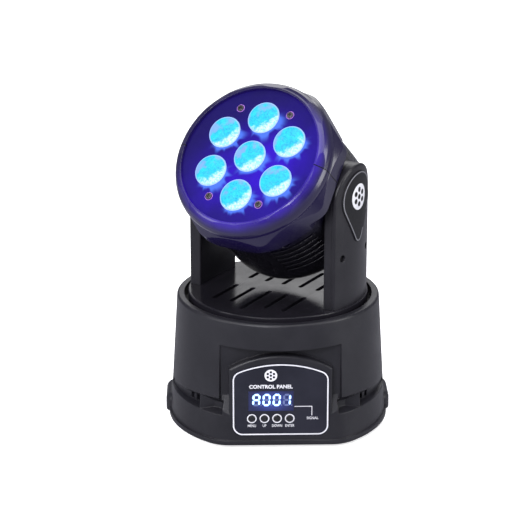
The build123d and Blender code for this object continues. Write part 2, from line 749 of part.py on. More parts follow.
with BuildPart() as arm_frame:
    with BuildSketch(Plane.YZ.offset(ARM_IN)):
        add(arm_side)
    extrude(amount=ARM_SPLIT - ARM_IN)
    fillet(arm_frame.faces().sort_by(Axis.X)[0].edges().filter_by(lambda e: e.center().Z > FLOOR_Z + 1), 1.2)
    with BuildSketch(Plane.YZ.offset(ARM_IN + ARM_WALL)):
        add(arm_inside)
    extrude(amount=ARM_SPLIT - ARM_IN, mode=Mode.SUBTRACT)
    with BuildSketch(Plane.YZ.offset(ARM_IN)):
        with Locations((0, TILT_Z)):
            Circle(PIVOT_R)
    extrude(amount=ARM_WALL, mode=Mode.SUBTRACT)
    with BuildSketch(Plane.YZ.offset(ARM_IN + 1)):
        with Locations(*COVER_SCREWS):
            Circle(3.6)
            Circle(M3_R - 0.05, mode=Mode.SUBTRACT)
    extrude(amount=ARM_SPLIT - ARM_IN - 1)

with BuildPart() as round_limit:
    Cylinder(ARM_OUT_R, LIMIT_H, align=STANDING)

with BuildPart() as inner_limit:
    Cylinder(ARM_OUT_R - ARM_WALL, LIMIT_H, align=STANDING)

with BuildPart() as badge_limit:
    Cylinder(ARM_OUT_R + BADGE_T, LIMIT_H, align=STANDING)

with BuildPart() as arm_hollow:
    with BuildSketch(Plane.YZ.offset(ARM_IN)):
        add(arm_inside)
    extrude(amount=20)
    add(inner_limit.part, mode=Mode.INTERSECT)

with BuildPart() as arm_cover:
    with BuildSketch(Plane.YZ.offset(ARM_SPLIT)):
        add(arm_side)
    extrude(amount=20)
    add(round_limit.part, mode=Mode.INTERSECT)
    fillet(arm_cover.edges().filter_by(
        lambda e: e.center().X > ARM_SPLIT + 1 and e.center().Z > FLOOR_Z + 1), 1.6)
    add(arm_hollow.part, mode=Mode.SUBTRACT)
    with BuildSketch(Plane.YZ.offset(ARM_SPLIT)):
        with Locations(*COVER_SCREWS):
            Circle(3.6)
    extrude(amount=4)
    with BuildSketch(Plane.YZ.offset(ARM_SPLIT + 1.5)):
        with Locations(*COVER_SCREWS):
            Circle(2.6)
    extrude(amount=20, mode=Mode.SUBTRACT)
    with BuildSketch(Plane.YZ.offset(ARM_SPLIT)):
        with Locations(*COVER_SCREWS):
            Circle(M3_R)
    extrude(amount=2, mode=Mode.SUBTRACT)

with BuildPart() as cover_screws:
    for side in (-1, 1):
        with BuildSketch(Plane.YZ.offset(side * (ARM_SPLIT + 1.5))):
            with Locations(*COVER_SCREWS):
                Circle(2.5)
        extrude(amount=side * 1.8)
        with BuildSketch(Plane.YZ.offset(side * (ARM_SPLIT - 3))):
            with Locations(*COVER_SCREWS):
                Circle(M3_R - 0.1)
        extrude(amount=side * 4.5)
save(cover_screws, "cover_screws", YOKE_FRAME)

with BuildPart() as badge:
    with BuildSketch(Plane.YZ.offset(ARM_IN)) as badge_outline:
        drop = BADGE_Z - BADGE_TIP_Z
        lean = math.acos(BADGE_R / drop)
        side_y = BADGE_R * math.sin(lean)
        side_z = BADGE_Z - BADGE_R * math.cos(lean)
        with BuildLine():
            ThreePointArc((-side_y, side_z), (0, BADGE_Z + BADGE_R), (side_y, side_z))
            Polyline((side_y, side_z), (0, BADGE_TIP_Z), (-side_y, side_z))
        make_face()
        fillet(badge_outline.vertices().group_by(Axis.Y)[0], 5.0)
    extrude(amount=20)
    add(badge_limit.part, mode=Mode.INTERSECT)
    add(round_limit.part, mode=Mode.SUBTRACT)

with BuildPart() as pivot:
    with BuildSketch(Plane.YZ.offset(PIVOT_IN)):
        with Locations((0, TILT_Z)):
            Circle(PIVOT_R)
    extrude(amount=ARM_IN + ARM_WALL - PIVOT_IN)
    with BuildSketch(Plane.YZ.offset(ARM_IN + ARM_WALL)):
        with Locations((0, TILT_Z)):
            Circle(14)
    extrude(amount=2)
    with BuildSketch(Plane.YZ.offset(PIVOT_IN)):
        with Locations((0, TILT_Z)):
            Circle(PIVOT_BORE_R)
    extrude(amount=30, mode=Mode.SUBTRACT)

for hand, turned in (("right", 0), ("left", 180)):
    hand_frame = YOKE_FRAME * Location((0, 0, 0), (0, 0, turned))
    save(arm_frame, f"{hand}_arm_frame", hand_frame)
    save(arm_cover, f"{hand}_arm_cover", hand_frame)
    save(badge, f"{hand}_badge", hand_frame)
    save(pivot, f"{hand}_pivot", hand_frame)

with BuildPart() as tilt_fixed_pulley:
    add(tilt_fixed_form)
    with BuildSketch(Plane.XY):
        Circle(PIVOT_R)
    extrude(amount=PULLEY_W, mode=Mode.SUBTRACT)
tilt_pulley_frame = Location((TILT_PULLEY_X, 0, TILT_Z), (0, 90, 0))
save(tilt_fixed_pulley, "tilt_fixed_pulley", YOKE_FRAME * tilt_pulley_frame)

# ================================================================ head

with BuildPart() as barrel_form:
    with BuildSketch(Plane.XZ) as barrel_profile:
        Polygon((0, REAR_H), (BARREL_R, REAR_H), (BARREL_R, 30), (0, 30), align=None)
        fillet(barrel_profile.vertices().filter_by(lambda v: v.X > 1 and v.Y < 0), REAR_ROUND)
    revolve(axis=Axis.Z)

with BuildPart() as flare_form:
    with BuildSketch(Plane.XZ):
        Polygon(
            (0, FLARE_LOW_H), (BARREL_R + 1.2, FLARE_LOW_H), (FLARE_CORNER_R - 1.6, FLARE_LOW_H + 3.2),
            (FLARE_CORNER_R, FLARE_LOW_H + 8), (FLARE_CORNER_R, 36.5),
            (BEZEL_R - 0.6, GROOVE_LOW_H), (0, GROOVE_LOW_H), align=None,
        )
    revolve(axis=Axis.Z)
    with BuildSketch(Plane.XY.offset(FLARE_LOW_H)) as flare_octagon:
        RegularPolygon(FLARE_APOTHEM, 8, major_radius=False, rotation=22.5)
        fillet(flare_octagon.vertices(), FLARE_ROUND)
    extrude(amount=GROOVE_LOW_H - FLARE_LOW_H, mode=Mode.INTERSECT)

with BuildPart() as bezel_form:
    with BuildSketch(Plane.XZ):
        Polygon(
            (0, BEZEL_LOW_H), (BEZEL_R, BEZEL_LOW_H), (BEZEL_R, BEZEL_LOW_H + 2.2),
            (BEZEL_R - 0.4, BEZEL_LOW_H + 4.4), (BEZEL_R - 1.6, BEZEL_LOW_H + 7.2),
            (BEZEL_R - 3.4, BEZEL_LOW_H + 9.8), (BEZEL_FRONT_R + 1.0, BEZEL_FRONT_H - 0.3),
            (BEZEL_FRONT_R, BEZEL_FRONT_H), (0, BEZEL_FRONT_H), align=None,
        )
    revolve(axis=Axis.Z)
    # eight shallow flats meet the rounded edge in a wavy ridge
    with BuildSketch(Plane.XY.offset(BEZEL_LOW_H)):
        RegularPolygon(
            BEZEL_FRONT_R + BEZEL_FLAT_RUN * (BEZEL_FRONT_H - BEZEL_LOW_H), 8, major_radius=False, rotation=22.5)
    with BuildSketch(Plane.XY.offset(BEZEL_FRONT_H)):
        RegularPolygon(BEZEL_FRONT_R, 8, major_radius=False, rotation=22.5)
    loft(mode=Mode.INTERSECT)

with BuildPart() as head_form:
    add(barrel_form.part)
    add(flare_form.part)
    with BuildSketch(Plane.XY.offset(GROOVE_LOW_H - 1)):
        Circle(BEZEL_R - 2.6)
    extrude(amount=BEZEL_LOW_H - GROOVE_LOW_H + 2)
    add(bezel_form.part)
    # flat sides that pass between the arms
    with BuildSketch(Plane.XY.offset(REAR_H - 1)):
        with Locations((SIDE_X + 20, 0), (-SIDE_X - 20, 0)):
            Rectangle(40, 160)
    extrude(amount=SHOULDER_H - REAR_H + 1, mode=Mode.SUBTRACT)

with BuildPart() as head_hollow:
    with BuildSketch(Plane.XZ) as hollow_profile:
        Polygon(
            (0, REAR_H + SHELL_T), (BARREL_R - SHELL_T, REAR_H + SHELL_T),
            (BARREL_R - SHELL_T, 38), (LEDGE_R, 44), (LEDGE_R, PLATE_H + 4), (0, PLATE_H + 4), align=None,
        )
        fillet(hollow_profile.vertices().filter_by(lambda v: v.X > 1 and v.Y < -40), REAR_ROUND - SHELL_T)
    revolve(axis=Axis.Z)
    with BuildSketch(Plane.XY.offset(REAR_H - 1)):
        with Locations((SIDE_X - SHELL_T + 20, 0), (-SIDE_X + SHELL_T - 20, 0)):
            Rectangle(40, 160)
    extrude(amount=SHOULDER_H + SHELL_T - REAR_H + 1, mode=Mode.SUBTRACT)

with BuildPart() as vent_form:
    for k in range(VENT_COUNT):
        with BuildSketch(Plane.XY.offset(VENT_FIRST_H - k * VENT_PITCH)):
            Circle(BARREL_R + 4)
            Circle(BARREL_R - 8, mode=Mode.SUBTRACT)
        extrude(amount=VENT_W)
    with BuildSketch(Plane.XY.offset(REAR_H)) as vent_sectors:
        for middle in (53.5, 126.5, 233.5, 306.5):
            low = math.radians(middle - 17.5)
            high = math.radians(middle + 17.5)
            Polygon(
                (0, 0), (90 * math.cos(low), 90 * math.sin(low)),
                (90 * math.cos(high), 90 * math.sin(high)), align=None,
            )
    extrude(amount=100, mode=Mode.INTERSECT)

with BuildPart() as head_shell:
    add(head_form.part)
    add(head_hollow.part, mode=Mode.SUBTRACT)
    with BuildSketch(Plane.XY.offset(PLATE_H - LENS_PLATE_T)):
        Circle(LENS_PLATE_R + 0.3)
    extrude(amount=10, mode=Mode.SUBTRACT)
    # bearing seats in the flat sides
    with BuildSketch(Plane.YZ.offset(SIDE_X - SHELL_T - 1.6)):
        Circle(TILT_BEARING_R + 2.4)
    extrude(amount=2)
    with BuildSketch(Plane.YZ.offset(-SIDE_X + SHELL_T + 1.6)):
        Circle(TILT_BEARING_R + 2.4)
    extrude(amount=-2)
    with BuildSketch(Plane.YZ.offset(-SIDE_X - 1)):
        Circle(TILT_BEARING_R)
    extrude(amount=2 * SIDE_X + 2, mode=Mode.SUBTRACT)
    add(vent_form.part, mode=Mode.SUBTRACT)
    # rear air grille
    with BuildSketch(Plane.XY.offset(REAR_H - 1)) as grille:
        for k in range(-4, 4):
            row = 6.0 * (k + 0.5)
            with Locations((0, row)):
                SlotOverall(2 * math.sqrt(27.5**2 - row**2), 3.2)
    extrude(amount=SHELL_T + 2, mode=Mode.SUBTRACT)
    # recessed bosses for the shell screws
    for side in (-1, 1):
        with BuildSketch(BOSS_PLANES[side]):
            Circle(5.4)
        extrude(amount=-9)
        with BuildSketch(BOSS_PLANES[side]):
            Circle(3.8)
        extrude(amount=-5, mode=Mode.SUBTRACT)
        with BuildSketch(BOSS_PLANES[side]):
            Circle(M3_R)
        extrude(amount=-10, mode=Mode.SUBTRACT)

with BuildPart() as upper_shell:
    add(head_shell.part)
    split(bisect_by=Plane.XZ.offset(-PARTING_GAP / 2), keep=Keep.BOTTOM)
save(upper_shell, "upper_shell", HEAD_FRAME)

with BuildPart() as lower_shell:
    add(head_shell.part)
    split(bisect_by=Plane.XZ.offset(PARTING_GAP / 2), keep=Keep.TOP)
save(lower_shell, "lower_shell", HEAD_FRAME)

with BuildPart() as shell_screws:
    for side in (-1, 1):
        with BuildSketch(BOSS_PLANES[side].offset(-5)):
            Circle(2.8)
        extrude(amount=1.8)
        with BuildSketch(BOSS_PLANES[side].offset(-5)):
            Circle(M3_R - 0.1)
        extrude(amount=-6)
save(shell_screws, "shell_screws", HEAD_FRAME)

# ---------------------------------------------------------------- lenses and light source

with BuildPart() as lens_plate:
    with BuildSketch(Plane.XY.offset(PLATE_H - LENS_PLATE_T)):
        Circle(LENS_PLATE_R)
        with Locations(*LENS_SPOTS):
            Circle(LENS_HOLE_R, mode=Mode.SUBTRACT)
        with Locations(*PLATE_SCREW_SPOTS):
            Circle(M3_R, mode=Mode.SUBTRACT)
    extrude(amount=LENS_PLATE_T)
save(lens_plate, "lens_plate", HEAD_FRAME)

with BuildPart() as lens_plate_screws:
    with BuildSketch(Plane.XY.offset(PLATE_H)):
        with Locations(*PLATE_SCREW_SPOTS):
            Circle(2.5)
    extrude(amount=1.2)
    fillet(lens_plate_screws.faces().group_by(Axis.Z)[-1].edges(), 0.6)
    with BuildSketch(Plane.XY.offset(PLATE_H + 1.2)):
        with Locations(*PLATE_SCREW_SPOTS):
            Rectangle(2.6, 0.7)
            Rectangle(0.7, 2.6)
    extrude(amount=-0.8, mode=Mode.SUBTRACT)
    with BuildSketch(Plane.XY.offset(PLATE_H)):
        with Locations(*PLATE_SCREW_SPOTS):
            Circle(M3_R - 0.1)
    extrude(amount=-8)
save(lens_plate_screws, "lens_plate_screws", HEAD_FRAME)

# the dome is a cap of a sphere centred on the lens axis
cap_rise = 2.8
cap_r = (LENS_R**2 + cap_rise**2) / (2 * cap_rise)
cap_mid_x = LENS_R / 2
cap_mid_h = PLATE_H + 2.5 - cap_r + math.sqrt(cap_r**2 - cap_mid_x**2)

with BuildPart() as lens:
    with BuildSketch(Plane.XZ):
        with BuildLine():
            Polyline(
                (0, LED_BOARD_H + 5), (5.0, LED_BOARD_H + 5), (11.4, PLATE_H - 3.0), (LENS_R, PLATE_H - 3.0),
                (LENS_R, PLATE_H - 0.3),
            )
            ThreePointArc((LENS_R, PLATE_H - 0.3), (cap_mid_x, cap_mid_h), (0, PLATE_H + 2.5))
            Line((0, PLATE_H + 2.5), (0, LED_BOARD_H + 5))
        make_face()
    revolve(axis=Axis.Z)

with BuildPart() as lens_cup:
    with BuildSketch(Plane.XZ):
        Polygon(
            (5.6, LED_BOARD_H + 4.2), (11.7, PLATE_H - 4.2), (12.5, PLATE_H - 3.6), (12.5, PLATE_H - 2.2),
            (13.8, PLATE_H - 2.2),
            (13.8, PLATE_H - 4), (7.4, LED_BOARD_H + 1.6), (5.6, LED_BOARD_H + 1.6), align=None,
        )
    revolve(axis=Axis.Z)

for k, (lens_x, lens_y) in enumerate(LENS_SPOTS, start=1):
    save(lens, f"lens_{k}", HEAD_FRAME * Location((lens_x, lens_y, 0)))

with BuildPart() as lens_holders:
    for lens_x, lens_y in LENS_SPOTS:
        add(lens_cup.part.moved(Location((lens_x, lens_y, 0))))
save(lens_holders, "lens_holders", HEAD_FRAME)

with BuildPart() as led_board:
    with BuildSketch(Plane.XY.offset(LED_BOARD_H)):
        Circle(47)
    extrude(amount=BOARD_T)
save(led_board, "led_board", HEAD_FRAME)

with BuildPart() as led_emitters:
    with BuildSketch(Plane.XY.offset(LED_BOARD_H + BOARD_T)):
        with Locations(*LENS_SPOTS):
            Rectangle(5, 5)
    extrude(amount=0.9)
    with BuildSketch(Plane.XY.offset(LED_BOARD_H + BOARD_T + 0.9)):
        with Locations(*LENS_SPOTS):
            Circle(2.2)
    extrude(amount=1.4)
    fillet(led_emitters.faces().group_by(Axis.Z)[-1].edges(), 1.0)
save(led_emitters, "led_emitters", HEAD_FRAME)

with BuildPart() as heatsink:
    with BuildSketch(Plane.XY.offset(LED_BOARD_H - 4)):
        Circle(47)
    extrude(amount=4)
    with BuildSketch(Plane.XY.offset(HEATSINK_H)):
        with GridLocations(7.0, 0, 13, 1):
            Rectangle(2.2, 120)
        Circle(45, mode=Mode.INTERSECT)
    extrude(amount=LED_BOARD_H - 4 - HEATSINK_H)
save(heatsink, "heatsink", HEAD_FRAME)

# ---------------------------------------------------------------- fan

with BuildPart() as fan_frame:
    with BuildSketch(Plane.XY.offset(FAN_REAR_H)):
        RectangleRounded(FAN_SIZE, FAN_SIZE, 4)
        Circle(FAN_BORE_R, mode=Mode.SUBTRACT)
        with GridLocations(50, 50, 2, 2):
            Circle(2.1, mode=Mode.SUBTRACT)
    extrude(amount=FAN_DEPTH)
    with BuildSketch(Plane.XY.offset(FAN_REAR_H)):
        Circle(FAN_HUB_R)
        with PolarLocations(20.5, 3, start_angle=90):
            Rectangle(18, 3)
    extrude(amount=1.6)
save(fan_frame, "fan_frame", HEAD_FRAME)

with BuildPart() as fan_rotor:
    with BuildSketch(Plane.XY.offset(FAN_REAR_H + 2.2)):
        Circle(FAN_HUB_R)
    extrude(amount=FAN_DEPTH - 3.4)
    with Locations((0, 0, FAN_REAR_H + 2.2 + (FAN_DEPTH - 3.4) / 2)):
        with PolarLocations(19.5, BLADE_COUNT):
            Box(16, 1.4, 14, rotation=(45, 0, 0))
save(fan_rotor, "fan_rotor", HEAD_FRAME)

# ---------------------------------------------------------------- tilt drive

with BuildPart() as tilt_bearings:
    for side in (-1, 1):
        with BuildSketch(Plane.YZ.offset(side * TILT_BEARING_IN)):
            Circle(TILT_BEARING_R)
            Circle(PIVOT_R + RUN_FIT, mode=Mode.SUBTRACT)
        extrude(amount=side * (SIDE_X - TILT_BEARING_IN))
save(tilt_bearings, "tilt_bearings", HEAD_FRAME)

tilt_motor_frame = Location((TILT_MOTOR_X, TILT_MOTOR_Y, TILT_MOTOR_H), (0, 90, 0))

with BuildPart() as tilt_motor:
    ring(MOTOR_R, MOTOR_SHAFT_R + RUN_FIT, MOTOR_L)
save(tilt_motor, "tilt_motor", HEAD_FRAME * tilt_motor_frame)

with BuildPart() as tilt_motor_bracket:
    with BuildSketch(Plane.YZ.offset(TILT_MOTOR_X + MOTOR_L)):
        with Locations((TILT_MOTOR_Y, (HEATSINK_H + TILT_MOTOR_H - 14) / 2)):
            Rectangle(30, HEATSINK_H - TILT_MOTOR_H + 14)
        with Locations((TILT_MOTOR_Y, TILT_MOTOR_H)):
            Circle(5, mode=Mode.SUBTRACT)
    extrude(amount=1.5)
save(tilt_motor_bracket, "tilt_motor_bracket", HEAD_FRAME)

with BuildPart() as tilt_drive_pulley:
    add(tilt_drive_form)
    with BuildSketch(Plane.XY):
        Circle(MOTOR_SHAFT_R)
    extrude(amount=TILT_MOTOR_X + 3 - TILT_PULLEY_X)
save(tilt_drive_pulley, "tilt_drive_pulley",
     HEAD_FRAME * Location((TILT_PULLEY_X, TILT_MOTOR_Y, TILT_MOTOR_H), (0, 90, 0)))

with BuildPart() as tilt_belt:
    with BuildSketch(Plane.YZ.offset(TILT_PULLEY_X + 1.2)):
        belt_outline(BELT_GAP + BELT_T, TILT_MOTOR_Y, TILT_MOTOR_H, TILT_PULLEY_R, TILT_DRIVE_R)
    extrude(amount=PULLEY_W - 2.4)
    with BuildSketch(Plane.YZ.offset(TILT_PULLEY_X + 1.2)):
        belt_outline(BELT_GAP, TILT_MOTOR_Y, TILT_MOTOR_H, TILT_PULLEY_R, TILT_DRIVE_R)
    extrude(amount=PULLEY_W - 2.4, mode=Mode.SUBTRACT)
save(tilt_belt, "tilt_belt", HEAD_FRAME)
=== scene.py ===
import json
import math

import bmesh
import bpy
from mathutils import Matrix, Vector


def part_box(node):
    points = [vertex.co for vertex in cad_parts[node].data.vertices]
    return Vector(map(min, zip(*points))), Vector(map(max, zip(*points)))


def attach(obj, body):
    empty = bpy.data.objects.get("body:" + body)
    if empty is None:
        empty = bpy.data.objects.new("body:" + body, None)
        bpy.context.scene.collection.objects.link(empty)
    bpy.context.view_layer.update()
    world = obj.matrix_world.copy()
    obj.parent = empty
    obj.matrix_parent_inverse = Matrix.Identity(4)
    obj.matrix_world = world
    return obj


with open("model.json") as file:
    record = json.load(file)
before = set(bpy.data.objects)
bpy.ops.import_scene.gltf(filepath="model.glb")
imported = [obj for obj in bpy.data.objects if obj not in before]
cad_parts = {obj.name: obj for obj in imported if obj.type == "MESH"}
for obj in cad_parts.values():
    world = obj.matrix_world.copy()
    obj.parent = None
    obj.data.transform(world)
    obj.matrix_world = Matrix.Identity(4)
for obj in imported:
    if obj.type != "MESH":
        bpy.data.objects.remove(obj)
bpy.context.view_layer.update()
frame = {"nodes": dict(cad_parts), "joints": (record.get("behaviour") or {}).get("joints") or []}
MM = 0.001

# ------------------------------------------------------------ frames of the moving bodies
joints = {joint["name"]: joint for joint in frame["joints"]}
tilt_place = Vector(joints["tilt"]["pos_m"])
tilt_axis = Vector(joints["tilt"]["axis"]).normalized()
optical_axis = Vector(joints["fan_spin"]["axis"]).normalized()


def body_frame(origin, x_axis, z_axis):
    """Matrix from a body's own aligned frame to the object's frame."""
    turn = Matrix((x_axis, z_axis.cross(x_axis), z_axis)).transposed().to_4x4()
    return Matrix.Translation(origin) @ turn


BASE = Matrix.Identity(4)
YOKE = body_frame(Vector((0, 0, 0)), tilt_axis, Vector((0, 0, 1)))
HEAD = body_frame(tilt_place, tilt_axis, optical_axis)


def local_points(node, matrix):
    """A CAD node's corners in one of the frames above."""
    inverse = matrix.inverted()
    return [inverse @ vertex.co for vertex in frame["nodes"][node].data.vertices]


def local_box(node, matrix):
    """Lowest and highest corner of a CAD node in one of the frames above."""
    points = local_points(node, matrix)
    low = Vector([min(point[i] for point in points) for i in range(3)])
    high = Vector([max(point[i] for point in points) for i in range(3)])
    return low, high


# ------------------------------------------------------------ node materials
NOISE_LOW = 0.3
NOISE_HIGH = 0.7


class Graph:
    """Builds one node material around a Principled shader."""

    def __init__(self, name):
        self.material = bpy.data.materials.new(name)
        self.material.use_nodes = True
        self.tree = self.material.node_tree
        self.tree.nodes.clear()
        output = self.tree.nodes.new("ShaderNodeOutputMaterial")
        self.shader = self.tree.nodes.new("ShaderNodeBsdfPrincipled")
        self.tree.links.new(self.shader.outputs["BSDF"], output.inputs["Surface"])
        self.space = self.tree.nodes.new("ShaderNodeTexCoord").outputs["Object"]

    def feed(self, node, key, value):
        """Links a socket, or sets a constant on it."""
        if isinstance(value, bpy.types.NodeSocket):
            self.tree.links.new(value, node.inputs[key])
        elif isinstance(value, tuple) and len(value) == 3 and len(node.inputs[key].default_value) == 4:
            node.inputs[key].default_value = (*value, 1.0)
        else:
            node.inputs[key].default_value = value

    def surface(self, **values):
        """Sets inputs of the Principled shader, by name."""
        for key, value in values.items():
            self.feed(self.shader, key.replace("_", " ").title().replace("Ior", "IOR"), value)

    def noise(self, vector, scale, detail=3.0, rough=0.5):
        node = self.tree.nodes.new("ShaderNodeTexNoise")
        self.feed(node, "Vector", vector)
        self.feed(node, "Scale", scale)
        self.feed(node, "Detail", detail)
        self.feed(node, "Roughness", rough)
        return node.outputs["Fac"]

    def cells(self, vector, scale, feature="F1", output="Distance"):
        node = self.tree.nodes.new("ShaderNodeTexVoronoi")
        node.feature = feature
        self.feed(node, "Vector", vector)
        self.feed(node, "Scale", scale)
        return node.outputs[output]

    def math(self, operation, a, b=0.0):
        node = self.tree.nodes.new("ShaderNodeMath")
        node.operation = operation
        self.feed(node, 0, a)
        self.feed(node, 1, b)
        return node.outputs[0]

    def times(self, first, *others):
        """The product of several values."""
        for other in others:
            first = self.math("MULTIPLY", first, other)
        return first

    def vector(self, operation, a, b=(0, 0, 0)):
        node = self.tree.nodes.new("ShaderNodeVectorMath")
        node.operation = operation
        self.feed(node, 0, a)
        self.feed(node, 1, b)
        return node.outputs["Value" if operation in ("LENGTH", "DOT_PRODUCT") else "Vector"]

    def level(self, place):
        """A place without its height."""
        return self.vector("MULTIPLY", place, (1, 1, 0))

    def step(self, value, low, high, to_low=0.0, to_high=1.0):
        """A smooth step, falling if low is the larger."""
        node = self.tree.nodes.new("ShaderNodeMapRange")
        node.interpolation_type = "SMOOTHSTEP"
        if low > high:
            low, high, to_low, to_high = high, low, to_high, to_low
        self.feed(node, "Value", value)
        self.feed(node, "From Min", low)
        self.feed(node, "From Max", high)
        self.feed(node, "To Min", to_low)
        self.feed(node, "To Max", to_high)
        return node.outputs["Result"]

    def spread(self, noise, to_low=0.0, to_high=1.0):
        """The usual span of a noise laid over a range."""
        return self.step(noise, NOISE_LOW, NOISE_HIGH, to_low, to_high)

    def mix(self, factor, a, b):
        node = self.tree.nodes.new("ShaderNodeMix")
        node.data_type = "RGBA"
        self.feed(node, "Factor", factor)
        self.feed(node, 6, a)
        self.feed(node, 7, b)
        return node.outputs[2]

    def bump(self, height, distance, strength=1.0, round_edge=0.0):
        node = self.tree.nodes.new("ShaderNodeBump")
        if round_edge:
            edge = self.tree.nodes.new("ShaderNodeBevel")
            edge.samples = 4
            edge.inputs["Radius"].default_value = round_edge
            self.tree.links.new(edge.outputs["Normal"], node.inputs["Normal"])
        self.feed(node, "Height", height)
        self.feed(node, "Distance", distance)
        self.feed(node, "Strength", strength)
        self.tree.links.new(node.outputs["Normal"], self.shader.inputs["Normal"])

    def within(self, matrix):
        """Object coordinates turned into one of the body frames."""
        node = self.tree.nodes.new("ShaderNodeMapping")
        node.vector_type = "TEXTURE"
        self.tree.links.new(self.space, node.inputs["Vector"])
        node.inputs["Location"].default_value = matrix.to_translation()
        node.inputs["Rotation"].default_value = matrix.to_euler("XYZ")
        return node.outputs["Vector"]

    def parts(self, vector):
        node = self.tree.nodes.new("ShaderNodeSeparateXYZ")
        self.tree.links.new(vector, node.inputs[0])
        return node.outputs


def moulded(name, colour, shade, rough, grain=0.45, depth=0.02, round_edge=0.0, **surface):
    """Moulded plastic or rubber: grain in mm, flow marks, and slight changes of gloss."""
    graph = Graph(name)
    flow = graph.noise(graph.space, 38.0, 4.0, 0.6)
    fine = graph.noise(graph.space, 1 / MM / grain, 2.0, 0.55)
    graph.surface(Base_Color=graph.mix(graph.step(flow, 0.34, 0.68), colour, shade))
    gloss = graph.math("ADD", graph.spread(flow, rough * 0.88, rough * 1.1), graph.spread(fine, -0.03, 0.03))
    graph.surface(Roughness=gloss, **surface)
    graph.bump(fine, depth * MM, 0.6, round_edge * MM)
    return graph.material


def metal(name, colour, shade, rough, matrix=BASE, along=2, stretch=24.0):
    """Machined or rolled metal, with fine lines along one axis."""
    graph = Graph(name)
    squeeze = [1.0, 1.0, 1.0]
    squeeze[along] = 1.0 / stretch
    lines = graph.noise(graph.vector("MULTIPLY", graph.within(matrix), tuple(squeeze)), 2600.0, 3.0, 0.6)
    stain = graph.noise(graph.space, 60.0, 4.0, 0.6)
    graph.surface(Base_Color=graph.mix(graph.step(stain, 0.35, 0.7), colour, shade), Metallic=1.0)
    polish = graph.spread(lines, rough * 0.8, rough * 1.25)
    graph.surface(Roughness=graph.math("ADD", polish, graph.step(stain, 0.4, 0.7, 0.0, 0.06)))
    graph.bump(lines, 0.01 * MM, 0.5)
    return graph.material


def board(name, mask, copper, bare):
    """Circuit board: solder mask over tracks, with pads of solder."""
    graph = Graph(name)
    track = graph.cells(graph.space, 420.0, "DISTANCE_TO_EDGE")
    lane = graph.step(track, 0.06, 0.1)
    pad = graph.step(graph.cells(graph.space, 330.0), 0.16, 0.12)
    tone = graph.mix(lane, copper, mask)
    graph.surface(Base_Color=graph.mix(pad, tone, bare), Metallic=graph.times(pad, 0.9))
    graph.surface(Roughness=graph.spread(graph.noise(graph.space, 300.0), 0.28, 0.42))
    graph.bump(graph.math("ADD", lane, pad), 0.04 * MM, 0.7)
    return graph.material


# Where the seven lenses sit, from the CAD, in the head's own frame.
LENSES = [f"lens_{number}" for number in range(1, 8)]
lens_centres = {}
for lens in LENSES:
    low, high = local_box(lens, HEAD)
    lens_centres[lens] = (low + high) / 2
lens_low, lens_high = local_box("lens_1", HEAD)
LENS_R = (lens_high.x - lens_low.x) / 2
PLATE_FACE = local_box("lens_plate", HEAD)[1].z

# The light of the lenses: its way across the plate, its rays painted on the plate, and its mosaic.
SPILL = Vector((0.66, -0.75, 0.0))
RAY_SCALE = 2.6
RAY_SHORT = 3.6 * MM
RAY_LONG = 11.0 * MM
RAY_FADE = 1.7
MOSAIC_SCALE = 880.0  # cells of the lens light, per metre


def painted_burst(graph, place):
    """Painted light that spills on the plate beside each lens, as rays."""
    total = None
    for lens in LENSES:
        centre = lens_centres[lens]
        flat = graph.level(graph.vector("SUBTRACT", place, tuple(centre)))
        far = graph.vector("LENGTH", flat)
        way = graph.vector("DOT_PRODUCT", graph.vector("NORMALIZE", flat), tuple(SPILL))
        ray = graph.noise(
            graph.vector("ADD", graph.vector("NORMALIZE", flat), tuple(centre * 40)), RAY_SCALE, 1.0)
        spike = graph.step(ray, 0.40, 0.62, RAY_SHORT, RAY_LONG)
        beyond = graph.math("DIVIDE", graph.math("SUBTRACT", far, LENS_R), spike)
        fade = graph.math("MAXIMUM", graph.math("SUBTRACT", 1.0, beyond), 0.0)
        fade = graph.math("POWER", fade, RAY_FADE)
        one = graph.times(fade, graph.step(way, 0.15, 0.9))
        total = one if total is None else graph.math("MAXIMUM", total, one)
    return total


def lens_plate_material():
    """Black plate with painted blue spill light in its emission, darker away from the spill, with painted
    rays beside the lenses.
    """
    graph = Graph("lens_plate_glow")
    place = graph.within(HEAD)
    out = graph.vector("LENGTH", graph.level(place))
    mottle = graph.noise(place, 46.0, 3.0, 0.55)
    fine = graph.noise(place, 2400.0, 2.0)
    rays = painted_burst(graph, place)
    side = graph.vector("DOT_PRODUCT", place, tuple(SPILL))
    # painted spill light in the emission: brighter near the middle and on the spill side, with painted rays
    # on top
    painted_spill_amount = graph.times(
        graph.step(out, 54 * MM, 14 * MM, 0.30, 1.0), graph.spread(mottle, 0.72, 1.15),
        graph.step(side, -40 * MM, 24 * MM, 0.20, 1.15))
    painted_spill_colour = graph.mix(painted_spill_amount, (0.002, 0.0005, 0.045), (0.030, 0.001, 0.60))
    glow = graph.mix(graph.step(rays, 0.0, 0.62), painted_spill_colour, (0.085, 0.22, 1.0))
    graph.surface(Base_Color=graph.mix(mottle, (0.004, 0.003, 0.02), (0.006, 0.004, 0.04)))
    graph.surface(Emission_Color=glow, Emission_Strength=1.0, Specular_IOR_Level=0.08)
    graph.surface(Roughness=graph.spread(fine, 0.30, 0.42))
    graph.bump(fine, 0.01 * MM, 0.5)
    return graph.material


